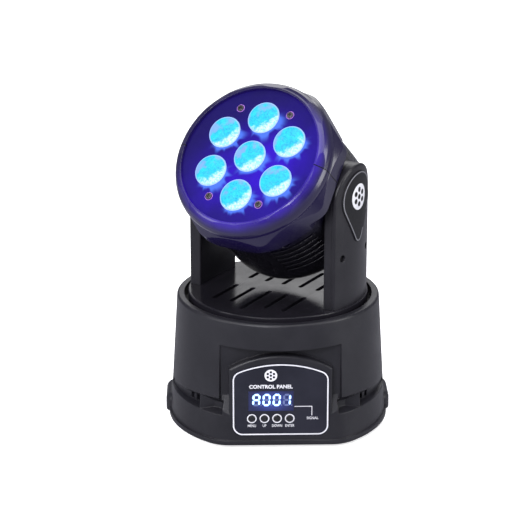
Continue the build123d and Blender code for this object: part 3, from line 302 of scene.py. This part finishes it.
def head_shell_material():
    """Glossy black shell; the light that spills from the lenses is painted on its bezel, in its emission."""
    graph = Graph("shell_gloss")
    place = graph.within(HEAD)
    out = graph.vector("LENGTH", graph.level(place))
    up = graph.parts(place)
    flow = graph.noise(graph.space, 30.0, 4.0, 0.6)
    fine = graph.noise(graph.space, 1900.0, 2.0)
    side = graph.vector("DOT_PRODUCT", place, tuple(SPILL))
    seam = graph.step(graph.math("ABSOLUTE", up[1]), 0.22 * MM, 0.55 * MM)
    # painted spill light, in emission: the bezel's front takes most of it, and the rest of the shell a trace
    # of it; none on the seam line
    painted_bezel_spill = graph.times(
        graph.step(out, 61 * MM, 53.5 * MM), graph.step(up[2], 44 * MM, 54 * MM), seam,
        graph.step(side, -40 * MM, 54 * MM, 0.12, 1.0), graph.spread(flow, 0.6, 1.2))
    painted_shell_spill = graph.times(
        graph.step(up[2], 6 * MM, 46 * MM), graph.step(side, -50 * MM, 40 * MM, 0.35, 1.0), seam)
    dim = graph.mix(painted_shell_spill, (0.0, 0.0, 0.0), (0.005, 0.002, 0.036))
    graph.surface(Emission_Color=graph.mix(painted_bezel_spill, dim, (0.030, 0.002, 0.44)), Emission_Strength=1.0)
    black = graph.mix(graph.step(flow, 0.35, 0.7), (0.0065, 0.006, 0.0085), (0.010, 0.0095, 0.013))
    gloss = graph.math("ADD", graph.spread(flow, 0.17, 0.25), graph.spread(fine, -0.02, 0.02))
    graph.surface(Base_Color=black, Roughness=gloss)
    graph.surface(Specular_IOR_Level=0.42, Coat_Weight=0.15, Coat_Roughness=0.06)
    graph.bump(fine, 0.008 * MM, 0.5, 0.7 * MM)
    return graph.material


def lens_material(lens, number):
    """A lit lens: a mosaic of cyan light, white where the beam leaves it."""
    graph = Graph(f"{lens}_lit")
    centre = lens_centres[lens]
    flat = graph.level(graph.vector("SUBTRACT", graph.within(HEAD), tuple(centre)))
    out = graph.vector("LENGTH", flat)
    shift = graph.vector("ADD", flat, (0.031 * number, 0.017 * number, 0.0))
    tone = graph.parts(graph.cells(shift, MOSAIC_SCALE, "F1", "Color"))
    edge = graph.cells(shift, MOSAIC_SCALE, "DISTANCE_TO_EDGE")
    blot = graph.noise(shift, 170.0, 4.0, 0.62)
    soft = graph.noise(shift, 90.0, 2.0, 0.5)
    cyan = graph.mix(tone[0], (0.0, 0.34, 0.64), (0.0, 0.60, 0.72))
    teal = graph.mix(graph.step(blot, 0.44, 0.66), cyan, (0.004, 0.66, 0.72))
    side = graph.vector("DOT_PRODUCT", flat, tuple(SPILL))
    wobble = graph.math("ADD", side, graph.times(graph.math("SUBTRACT", blot, 0.5), 14 * MM))
    # a white crescent on the side of the spill, and lilac patches on the other
    crescent = graph.math("ADD", wobble, graph.times(graph.math("SUBTRACT", out, 7.5 * MM), 0.55))
    white = graph.times(graph.step(crescent, 3.4 * MM, 8.4 * MM), graph.step(tone[2], 0.1, 0.7, 0.45, 1.0))
    lilac = graph.times(graph.step(wobble, -1.5 * MM, -4.5 * MM), graph.step(soft, 0.44, 0.58), 0.8)
    colour = graph.mix(lilac, teal, (0.32, 0.26, 0.78))
    colour = graph.mix(white, colour, (0.86, 1.0, 0.98))
    colour = graph.mix(graph.step(edge, 0.10, 0.02, 0.0, 0.28), colour, (0.10, 0.76, 0.86))
    # a faint ring round the middle, and the pale rim
    ring = graph.math("ABSOLUTE", graph.math("SUBTRACT", out, 1.7 * MM))
    colour = graph.mix(graph.step(ring, 0.55 * MM, 0.15 * MM, 0.0, 0.45), colour, (0.0, 0.55, 0.72))
    rim = graph.step(out, LENS_R - 1.15 * MM, LENS_R - 0.65 * MM)
    colour = graph.mix(graph.times(rim, 0.75), colour, (0.38, 0.60, 0.95))
    graph.surface(Base_Color=graph.mix(rim, (0.02, 0.10, 0.14), (0.05, 0.06, 0.16)))
    graph.surface(Emission_Color=colour, Emission_Strength=1.0)
    graph.surface(Roughness=graph.step(tone[1], 0.0, 1.0, 0.12, 0.24), Specular_IOR_Level=0.06, IOR=1.49)
    graph.bump(edge, 0.16 * MM, 0.35)
    return graph.material


def window_material():
    """Blue filter window, brightest behind the digits."""
    graph = Graph("display_window_blue")
    low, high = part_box("display_window")
    from_middle = graph.vector("SUBTRACT", graph.space, tuple((low + high) / 2))
    out = graph.vector("LENGTH", graph.vector("MULTIPLY", from_middle, (0.62, 0.0, 1.0)))
    grain = graph.noise(graph.space, 900.0, 2.0)
    glow = graph.times(graph.step(out, 11 * MM, 2 * MM), graph.spread(grain, 0.85, 1.1))
    graph.surface(Base_Color=graph.mix(grain, (0.006, 0.008, 0.03), (0.010, 0.012, 0.045)))
    graph.surface(Emission_Color=graph.mix(glow, (0.008, 0.010, 0.045), (0.030, 0.055, 0.30)))
    graph.surface(Emission_Strength=1.0, Roughness=graph.spread(grain, 0.10, 0.16))
    graph.bump(grain, 0.004 * MM, 0.4)
    return graph.material


def lit_material(name, colour, shade, strength, scale):
    """A surface that gives light, slightly uneven."""
    graph = Graph(name)
    grain = graph.noise(graph.space, scale, 2.0)
    graph.surface(Base_Color=graph.mix(grain, shade, colour), Roughness=graph.spread(grain, 0.3, 0.5))
    graph.surface(Emission_Color=graph.mix(graph.spread(grain), shade, colour), Emission_Strength=strength)
    graph.bump(grain, 0.005 * MM, 0.4)
    return graph.material


def floor_plate_material():
    """Gloss of the yoke's floor, with scuffs round the slots."""
    graph = Graph("yoke_floor_gloss")
    flow = graph.noise(graph.space, 45.0, 4.0, 0.6)
    scuff = graph.noise(graph.vector("MULTIPLY", graph.within(YOKE), (1.0, 0.08, 1.0)), 700.0, 3.0)
    graph.surface(Base_Color=graph.mix(flow, (0.007, 0.0065, 0.009), (0.013, 0.012, 0.016)))
    gloss = graph.math("ADD", graph.spread(flow, 0.16, 0.24), graph.step(scuff, 0.55, 0.75, 0.0, 0.05))
    graph.surface(Roughness=gloss)
    graph.surface(Specular_IOR_Level=0.20, Coat_Weight=0.03, Coat_Roughness=0.12)
    graph.bump(scuff, 0.006 * MM, 0.4, 0.5 * MM)
    return graph.material


BADGE_BLACK = moulded(
    "badge_matte_black", (0.0045, 0.0045, 0.0058), (0.0070, 0.0070, 0.0085), 0.50, 0.30, 0.012,
    Specular_IOR_Level=0.25)
OVERLAY_FILM = moulded(
    "overlay_film", (0.0090, 0.0095, 0.0170), (0.0130, 0.0135, 0.0230), 0.42, 0.25, 0.006,
    Specular_IOR_Level=0.30)

# the material of each CAD slot
FINISH = {
    "casing": moulded(
        "casing_charcoal", (0.0098, 0.0096, 0.0128), (0.0130, 0.0127, 0.0166), 0.40, 0.42, 0.022, 1.0,
        Specular_IOR_Level=0.34),
    "arm_plastic": moulded(
        "arm_charcoal", (0.0080, 0.0076, 0.0105), (0.0112, 0.0106, 0.0142), 0.36, 0.40, 0.018, 0.8,
        Specular_IOR_Level=0.34),
    "badge_plastic": BADGE_BLACK,
    "overlay": OVERLAY_FILM,
    "foot_rubber": moulded(
        "foot_rubber_black", (0.012, 0.012, 0.012), (0.022, 0.021, 0.020), 0.80, 0.60, 0.05),
    "belt_rubber": moulded(
        "belt_black", (0.010, 0.010, 0.010), (0.020, 0.020, 0.019), 0.70, 0.9, 0.10),
    "button_black": moulded(
        "button_gloss", (0.006, 0.006, 0.008), (0.010, 0.010, 0.013), 0.28, 0.30, 0.008),
    "switch_black": moulded(
        "switch_body", (0.015, 0.015, 0.016), (0.028, 0.028, 0.028), 0.45, 0.35, 0.01),
    "socket_plastic": moulded(
        "socket_nylon", (0.010, 0.010, 0.011), (0.018, 0.018, 0.019), 0.48, 0.40, 0.015),
    "fan_plastic": moulded(
        "fan_pbt", (0.014, 0.014, 0.015), (0.024, 0.024, 0.024), 0.42, 0.40, 0.012),
    "cup_black": moulded(
        "lens_cup_black", (0.006, 0.006, 0.012), (0.010, 0.010, 0.022), 0.30, 0.35, 0.008),
    "display": moulded(
        "display_module_case", (0.012, 0.012, 0.014), (0.030, 0.030, 0.034), 0.40, 0.30, 0.006),
    "bottom_steel": metal(
        "bottom_painted_steel", (0.020, 0.020, 0.022), (0.032, 0.031, 0.032), 0.46, BASE, 0, 4.0),
    "rear_metal": metal(
        "rear_painted_steel", (0.018, 0.018, 0.020), (0.028, 0.028, 0.030), 0.44, BASE, 0, 4.0),
    "screw_black": metal(
        "screw_black_zinc", (0.055, 0.053, 0.060), (0.10, 0.095, 0.105), 0.34, BASE, 0, 3.0),
    "socket_metal": metal("socket_nickel", (0.48, 0.47, 0.45), (0.36, 0.35, 0.34), 0.28, BASE, 1, 3.0),
    "motor_steel": metal("motor_case", (0.40, 0.40, 0.41), (0.30, 0.29, 0.29), 0.36, BASE, 2, 20.0),
    "pulley_alloy": metal("pulley_turned", (0.68, 0.68, 0.70), (0.56, 0.56, 0.58), 0.28, BASE, 2, 30.0),
    "bearing_steel": metal("bearing_ground", (0.60, 0.60, 0.62), (0.48, 0.48, 0.49), 0.20, BASE, 2, 30.0),
    "shaft_steel": metal("shaft_turned", (0.52, 0.52, 0.54), (0.42, 0.42, 0.43), 0.26, BASE, 2, 30.0),
    "heatsink_alloy": metal(
        "heatsink_extruded", (0.58, 0.59, 0.61), (0.46, 0.46, 0.48), 0.38, HEAD, 2, 30.0),
    "bracket_steel": metal("bracket_zinc", (0.50, 0.50, 0.48), (0.36, 0.36, 0.36), 0.40, BASE, 0, 20.0),
    "circuit_board": board("board_green", (0.006, 0.055, 0.018), (0.012, 0.10, 0.035), (0.62, 0.60, 0.58)),
    "board_white": board("board_white_mask", (0.70, 0.71, 0.70), (0.56, 0.57, 0.55), (0.70, 0.66, 0.60)),
    "window": window_material(),
    "yoke_floor": floor_plate_material(),
    "shell_plastic": head_shell_material(),
    "lens_plate": lens_plate_material(),
    "emitter": lit_material("emitter_lit", (0.25, 0.85, 1.0), (0.05, 0.35, 0.95), 1.5, 900.0),
}

for number, lens in enumerate(LENSES, start=1):
    frame["nodes"][lens].material_slots[0].material = lens_material(lens, number)
for name, node in frame["nodes"].items():
    if name in LENSES:
        continue
    for place in node.material_slots:
        place.material = FINISH[place.material.name.split(".")[0]]

INK = moulded("print_white_ink", (0.80, 0.80, 0.83), (0.66, 0.66, 0.70), 0.50, 0.25, 0.004)
GREY_INK = moulded("print_grey_ink", (0.20, 0.20, 0.22), (0.14, 0.14, 0.155), 0.42, 0.25, 0.006)
# the washers glow faintly purple: painted light from the lenses in their emission
PAINTED_WASHER_GLOW = lit_material("washer_painted_glow", (0.30, 0.12, 0.42), (0.14, 0.06, 0.30), 0.35, 900.0)
DIGIT = lit_material("digit_lit", (0.42, 0.66, 1.0), (0.24, 0.44, 1.0), 2.2, 700.0)
DIGIT_OFF = lit_material("digit_unlit", (0.10, 0.13, 0.26), (0.06, 0.08, 0.20), 0.55, 700.0)


# ------------------------------------------------------------ thin relief on a surface
class Relief:
    """A mesh piece of thin raised shapes, drawn in millimetres on a surface."""

    def __init__(self, name, body, slot, material, place):
        self.name, self.body, self.slot, self.material, self.place = name, body, slot, material, place
        self.mesh = bmesh.new()

    def ring(self, loop, height):
        """A loop of vertices at one height above the surface."""
        return [self.mesh.verts.new(self.place(u, v, height)) for u, v in loop]

    def wall(self, first, second):
        """Faces between two loops of vertices."""
        count = len(first)
        for i in range(count):
            j = (i + 1) % count
            self.mesh.faces.new((first[i], first[j], second[j], second[i]))

    def band(self, outer, inner, low, high):
        """A closed band between two loops with the same number of points."""
        a, b = self.ring(outer, low), self.ring(outer, high)
        c, d = self.ring(inner, high), self.ring(inner, low)
        self.wall(a, b)
        self.wall(b, c)
        self.wall(c, d)
        self.wall(d, a)

    def slab(self, loop, low, high, rows=0):
        """A closed slab with the loop as its outline; with rows it can follow a curved surface."""
        a, b = self.ring(loop, low), self.ring(loop, high)
        self.wall(a, b)
        if not rows:
            self.mesh.faces.new(b)
            self.mesh.faces.new(list(reversed(a)))
            return
        mid_u = sum(u for u, v in loop) / len(loop)
        mid_v = sum(v for u, v in loop) / len(loop)
        for start, height in ((b, high), (a, low)):
            for row in range(1, rows):
                share = 1 - row / rows
                shrunk = [(mid_u + (u - mid_u) * share, mid_v + (v - mid_v) * share) for u, v in loop]
                inner = self.ring(shrunk, height)
                self.wall(start, inner)
                start = inner
            self.mesh.faces.new(start)

    def text(self, words, u, v, size, low, high, bold=0.0, narrow=1.0):
        """Words centred on a point, as solid letters."""
        curve = bpy.data.curves.new("letters", "FONT")
        curve.body = words
        curve.size = size
        curve.align_x = "CENTER"
        curve.align_y = "CENTER"
        curve.offset = bold
        curve.extrude = (high - low) / 2
        curve.resolution_u = 4
        holder = bpy.data.objects.new("letters", curve)
        bpy.context.collection.objects.link(holder)
        bpy.context.view_layer.update()
        letters = bpy.data.meshes.new_from_object(holder)
        for vertex in letters.vertices:
            x, y, z = vertex.co
            vertex.co = self.place(u + x * narrow, v + y, (low + high) / 2 + z)
        self.mesh.from_mesh(letters)
        bpy.data.objects.remove(holder)
        bpy.data.curves.remove(curve)
        bpy.data.meshes.remove(letters)

    def finish(self):
        """Puts the piece in the scene, on its body."""
        bmesh.ops.recalc_face_normals(self.mesh, faces=self.mesh.faces)
        data = bpy.data.meshes.new(self.name)
        self.mesh.to_mesh(data)
        self.mesh.free()
        data.materials.append(self.material)
        piece = bpy.data.objects.new(self.name, data)
        bpy.context.collection.objects.link(piece)
        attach(piece, self.body)
        return piece


def circle(u, v, radius, count=48):
    turns = [math.tau * i / count for i in range(count)]
    return [(u + radius * math.cos(turn), v + radius * math.sin(turn)) for turn in turns]


def hull(points):
    """Convex outline of flat points, anticlockwise."""
    points = sorted(set((round(u, 5), round(v, 5)) for u, v in points))

    def half(sequence):
        chain = []
        for p in sequence:
            while len(chain) > 1:
                (ax, ay), (bx, by) = chain[-2], chain[-1]
                if (bx - ax) * (p[1] - ay) - (by - ay) * (p[0] - ax) > 1e-7:
                    break
                chain.pop()
            chain.append(p)
        return chain[:-1]

    return half(points) + half(reversed(points))


def inset(loop, distance):
    """The outline moved inwards."""
    moved = []
    count = len(loop)
    for i in range(count):
        before, here, after = Vector(loop[i - 1]), Vector(loop[i]), Vector(loop[(i + 1) % count])
        one, two = (here - before).normalized(), (after - here).normalized()
        normal = Vector((-one.y, one.x)) + Vector((-two.y, two.x))
        normal.normalize()
        lean = max(0.5, normal.dot(Vector((-one.y, one.x))))
        moved.append(tuple(here + normal * (distance / lean)))
    return moved


def stroke(path, width):
    """Outline of an open line of straight runs."""
    left, right = [], []
    for i, point in enumerate(path):
        here = Vector(point)
        one = (here - Vector(path[i - 1])).normalized() if i else None
        two = (Vector(path[i + 1]) - here).normalized() if i < len(path) - 1 else None
        one, two = one or two, two or one
        normal = (Vector((-one.y, one.x)) + Vector((-two.y, two.x))).normalized()
        reach = width / 2 / max(0.5, normal.dot(Vector((-one.y, one.x))))
        left.append(tuple(here + normal * reach))
        right.append(tuple(here - normal * reach))
    return right + list(reversed(left))


def cluster_icon(relief_light, relief_dark, u, v, radius, low, high):
    """A plain round mark: a disc with seven dots, like the lamp's face."""
    relief_light.slab(circle(u, v, radius, 64), low, high, 10)
    spread = radius * 0.56
    spots = [(u, v)]
    for turn in [math.radians(angle) for angle in range(30, 390, 60)]:
        spots.append((u + spread * math.cos(turn), v + spread * math.sin(turn)))
    for x, y in spots:
        relief_dark.slab(circle(x, y, radius * 0.2, 24), high, high + (high - low) * 0.6, 3)


# ------------------------------------------------------------ control panel print
PANEL_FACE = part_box("panel_overlay")[0].y
INK_H = 0.05
MARKS_U = -7.1  # the heading and the round mark stand over the display
HEADING_V = 48.4
ICON_V = 57.2
LEADER = [(10.2, 33.0), (22.7, 33.0), (22.7, 25.9)]
LABEL_DROP = 5.7
LABEL_SIZE = 2.8


def on_panel(u, v, height):
    return Vector((u * MM, PANEL_FACE - height * MM, v * MM))


front_points = [p for p in local_points("panel_overlay", BASE) if p.y < PANEL_FACE + 0.05 * MM]
overlay_outline = hull([(p.x / MM, p.z / MM) for p in front_points])

outline = Relief("panel_outline", "base", "overlay", INK, on_panel)
outline.band(inset(overlay_outline, 0.7), inset(overlay_outline, 1.65), 0.0, INK_H)
outline.finish()

heading = Relief("panel_heading", "base", "overlay", INK, on_panel)
heading.text("CONTROL PANEL", MARKS_U, HEADING_V, 3.9, 0.0, INK_H, bold=0.13)
heading.finish()

icon_disc = Relief("panel_icon_disc", "base", "overlay", INK, on_panel)
icon_dots = Relief("panel_icon_dots", "base", "overlay", OVERLAY_FILM, on_panel)
cluster_icon(icon_disc, icon_dots, MARKS_U, ICON_V, 4.6, 0.0, INK_H)
icon_disc.finish()
icon_dots.finish()

BUTTON_WORDS = {"menu_button": "MENU", "up_button": "UP", "down_button": "DOWN", "enter_button": "ENTER"}
button_places = {}
for button in BUTTON_WORDS:
    low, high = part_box(button)
    button_places[button] = ((low.x + high.x) / 2 / MM, (low.z + high.z) / 2 / MM)

rings = Relief("button_rings", "base", "overlay", INK, on_panel)
for u, v in button_places.values():
    rings.band(circle(u, v, 3.5), circle(u, v, 2.75), 0.0, INK_H)
rings.finish()

labels = Relief("button_labels", "base", "overlay", INK, on_panel)
for button, words in BUTTON_WORDS.items():
    u, v = button_places[button]
    labels.text(words, u, v - LABEL_DROP, LABEL_SIZE, 0.0, INK_H, bold=0.03, narrow=0.80)
labels.finish()

leader = Relief("signal_leader", "base", "overlay", INK, on_panel)
leader.slab(stroke(LEADER, 0.5), 0.0, INK_H)
leader.finish()
signal = Relief("signal_label", "base", "overlay", INK, on_panel)
signal.text("SIGNAL", 23.2, 23.7, LABEL_SIZE, 0.0, INK_H, bold=0.03, narrow=0.9)
signal.finish()

# ------------------------------------------------------------ display digits
window_low, window_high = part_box("display_window")
WINDOW_FACE = window_low.y
SEGMENTS = {"A": "abcefg", "0": "abcdef", "1": "bc"}
LEVEL_SEGMENTS = "agd"
DIGIT_PITCH = 7.4
DIGIT_W = 4.3
DIGIT_H = 8.0
BAR_W = 1.5
DIGIT_LEAN = 0.05
LIGHT_H = 0.06


def on_window(u, v, height):
    return Vector((u * MM, WINDOW_FACE - height * MM, v * MM))


def segment(name, width, height, thick, lean):
    """One bar of a seven-segment digit, centred on the digit."""
    w, h, t = width / 2, height / 2, thick / 2
    gap = thick * 0.16
    centres = {
        "a": (0, h), "g": (0, 0), "d": (0, -h),
        "f": (-w, h / 2), "b": (w, h / 2), "e": (-w, -h / 2), "c": (w, -h / 2),
    }
    u, v = centres[name]
    reach = (w if name in LEVEL_SEGMENTS else h / 2) - gap
    shape = [(-reach, 0), (-reach + t, -t), (reach - t, -t), (reach, 0), (reach - t, t), (-reach + t, t)]
    if name not in LEVEL_SEGMENTS:
        shape = [(-y, x) for x, y in shape]
    return [(u + x + (v + y) * lean, v + y) for x, y in shape]


lit = Relief("display_digits", "base", "window", DIGIT, on_window)
unlit = Relief("display_segments_unlit", "base", "window", DIGIT_OFF, on_window)
middle_u = (window_low.x + window_high.x) / 2 / MM + 0.5
middle_v = (window_low.z + window_high.z) / 2 / MM + 0.9
for place, symbol in enumerate("A001"):
    u = middle_u + (place - 1.5) * DIGIT_PITCH
    for name in "abcdefg":
        bar = segment(name, DIGIT_W, DIGIT_H, BAR_W, DIGIT_LEAN)
        target = lit if name in SEGMENTS[symbol] else unlit
        target.slab([(u + x, middle_v + y) for x, y in bar], 0.0, LIGHT_H)
    # the decimal point
    unlit.slab(circle(u + 3.4, middle_v - 4.1, 0.5, 16), 0.0, LIGHT_H)
lit.finish()
unlit.finish()

# ------------------------------------------------------------ arm badges
for side, badge in ((1, "right_badge"), (-1, "left_badge")):
    # the badge's face is part of a drum round the pan axis
    badge_points = local_points(badge, YOKE)
    drum = max(math.hypot(p.x, p.y) for p in badge_points)

    def on_badge(u, v, height, side=side, drum=drum):
        across = math.sqrt((drum + height * MM) ** 2 - (u * MM) ** 2)
        return YOKE @ Vector((side * across, side * u * MM, v * MM))

    face_points = [p for p in badge_points if math.hypot(p.x, p.y) > drum - 0.05 * MM]
    loop = hull([(side * p.y / MM, p.z / MM) for p in face_points])
    top = max(v for u, v in loop)
    rim = Relief(f"{badge}_rim", "yoke", "badge_plastic", GREY_INK, on_badge)
    rim.band(inset(loop, 0.6), inset(loop, 1.4), 0.0, 0.12)
    rim.finish()
    disc = Relief(f"{badge}_icon_disc", "yoke", "badge_plastic", INK, on_badge)
    dots = Relief(f"{badge}_icon_dots", "yoke", "badge_plastic", BADGE_BLACK, on_badge)
    cluster_icon(disc, dots, 0.0, top - 19.0, 9.6, 0.0, 0.06)
    disc.finish()
    dots.finish()

# ------------------------------------------------------------ washers of the lens plate's screws, with painted glow
SCREW_TURNS = (60, 120, 240, 300)


def on_plate(u, v, height):
    return HEAD @ Vector((u * MM, v * MM, PLATE_FACE + height * MM))


screw_points = local_points("lens_plate_screws", HEAD)
washers = Relief("lens_plate_washers", "head", "screw_black", PAINTED_WASHER_GLOW, on_plate)
for turn in SCREW_TURNS:
    way = Vector((math.cos(math.radians(turn)), math.sin(math.radians(turn)), 0.0))
    near = [p for p in screw_points if (Vector((p.x, p.y, 0.0)).normalized() - way).length < 0.12]
    u = (min(p.x for p in near) + max(p.x for p in near)) / 2 / MM
    v = (min(p.y for p in near) + max(p.y for p in near)) / 2 / MM
    washers.band(circle(u, v, 3.1, 32), circle(u, v, 2.55, 32), 0.0, 0.25)
washers.finish()

# ------------------------------------------------------------ rear panel print
REAR_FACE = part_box("rear_panel")[1].y
# node, word, and how far under the node's middle it stands
REAR_WORDS = (("dmx_in_socket", "IN", 14.6), ("dmx_out_socket", "OUT", 14.6), ("fuse_holder", "FUSE", 9.4))


def on_rear(u, v, height):
    return Vector((-u * MM, REAR_FACE + height * MM, v * MM))


rear_labels = Relief("rear_labels", "base", "rear_metal", INK, on_rear)
for node, words, drop in REAR_WORDS:
    low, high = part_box(node)
    u, v = -(low.x + high.x) / 2 / MM, (low.z + high.z) / 2 / MM - drop
    rear_labels.text(words, u, v, 2.4, 0.0, INK_H, bold=0.02)
rear_labels.finish()

# ------------------------------------------------------------ floor, light and camera
FLOOR_REACH = 6.0
FLOOR_DROP = 0.0002
ROOM_STRENGTH = 0.24


def split_by_eye(tree, other, seen, target):
    """One shader for what the camera sees, and another for the light on the object."""
    path = tree.nodes.new("ShaderNodeLightPath")
    share = tree.nodes.new("ShaderNodeMixShader")
    tree.links.new(path.outputs["Is Camera Ray"], share.inputs[0])
    tree.links.new(other.outputs[0], share.inputs[1])
    tree.links.new(seen.outputs[0], share.inputs[2])
    tree.links.new(share.outputs[0], target.inputs["Surface"])


ground = bpy.data.meshes.new("studio_floor")
corners = [(-FLOOR_REACH, -FLOOR_REACH, 0), (FLOOR_REACH, -FLOOR_REACH, 0),
           (FLOOR_REACH, FLOOR_REACH, 0), (-FLOOR_REACH, FLOOR_REACH, 0)]
ground.from_pydata(corners, [], [(0, 1, 2, 3)])
floor = bpy.data.objects.new("studio_floor", ground)
bpy.context.collection.objects.link(floor)
floor.location.z = -FLOOR_DROP
paper = Graph("floor_paper")
fibre = paper.noise(paper.space, 600.0, 3.0)
paper.surface(Base_Color=paper.mix(fibre, (0.90, 0.90, 0.90), (0.93, 0.93, 0.93)))
paper.surface(Roughness=paper.spread(fibre, 0.8, 0.9), Specular_IOR_Level=0.1)
paper.surface(Emission_Color=(1.0, 1.0, 1.0), Emission_Strength=0.66)
# the floor is white to the eye, and throws back only part of its light on the object
surface_out = next(node for node in paper.tree.nodes if node.type == "OUTPUT_MATERIAL")
dull = paper.tree.nodes.new("ShaderNodeBsdfDiffuse")
dull.inputs["Color"].default_value = (0.34, 0.34, 0.37, 1.0)
split_by_eye(paper.tree, dull, paper.shader, surface_out)
ground.materials.append(paper.material)

world = bpy.data.worlds.new("studio")
bpy.context.scene.world = world
world.use_nodes = True
backdrop = world.node_tree.nodes["Background"]
backdrop.inputs["Color"].default_value = (1.0, 1.0, 1.0, 1.0)
backdrop.inputs["Strength"].default_value = 1.0
room = world.node_tree.nodes.new("ShaderNodeBackground")
room.inputs["Color"].default_value = (0.86, 0.86, 1.0, 1.0)
room.inputs["Strength"].default_value = ROOM_STRENGTH
split_by_eye(world.node_tree, room, backdrop, world.node_tree.nodes["World Output"])


def soft_box(name, place, aim, width, height, power, colour=(1.0, 1.0, 1.0)):
    """A rectangular lamp that faces a point, in metres and watts."""
    lamp = bpy.data.lights.new(name, "AREA")
    lamp.shape = "RECTANGLE"
    lamp.size = width
    lamp.size_y = height
    lamp.energy = power
    lamp.color = colour
    lamp_object = bpy.data.objects.new(name, lamp)
    bpy.context.collection.objects.link(lamp_object)
    lamp_object.location = place
    way = Vector(aim) - Vector(place)
    lamp_object.rotation_euler = way.to_track_quat("-Z", "Y").to_euler()


soft_box("top_light", (0.0, -0.2, 1.5), (0.0, 0.0, 0.1), 1.4, 1.4, 20.0)
soft_box("left_light", (-1.3, -0.5, 0.7), (0.0, 0.0, 0.12), 0.5, 1.3, 9.0)
soft_box("right_light", (1.3, -0.45, 0.6), (0.0, 0.0, 0.12), 0.5, 1.3, 14.0)
soft_box("front_light", (-0.7, -1.7, 1.15), (0.0, 0.0, 0.10), 1.0, 0.8, 42.0, (0.95, 0.95, 1.0))
soft_box("back_light", (0.15, 1.4, 0.9), (0.0, 0.0, 0.15), 1.2, 0.7, 5.0)

AZIMUTH = math.radians(-1.35)
ELEVATION = math.radians(18.76)
DISTANCE = 1.43009
AIM_Z = 0.11819
AIM_SIDE = -0.00972
FOCAL_MM = 130.4
SENSOR_MM = 36.0
level = math.cos(ELEVATION)
back = Vector((math.sin(AZIMUTH) * level, -math.cos(AZIMUTH) * level, math.sin(ELEVATION)))
right = Vector((math.cos(AZIMUTH), math.sin(AZIMUTH), 0.0))
aim = Vector((0.0, 0.0, AIM_Z)) + right * AIM_SIDE
camera_data = bpy.data.cameras.new("camera")
camera_data.lens = FOCAL_MM
camera_data.sensor_width = SENSOR_MM
camera = bpy.data.objects.new("camera", camera_data)
bpy.context.collection.objects.link(camera)
turn = Matrix((right, back.cross(right), back)).transposed().to_4x4()
camera.matrix_world = Matrix.Translation(aim + back * DISTANCE) @ turn
bpy.context.scene.camera = camera
bpy.context.scene.view_settings.view_transform = "Standard"
bpy.context.scene.view_settings.look = "None"

bpy.context.view_layer.update()
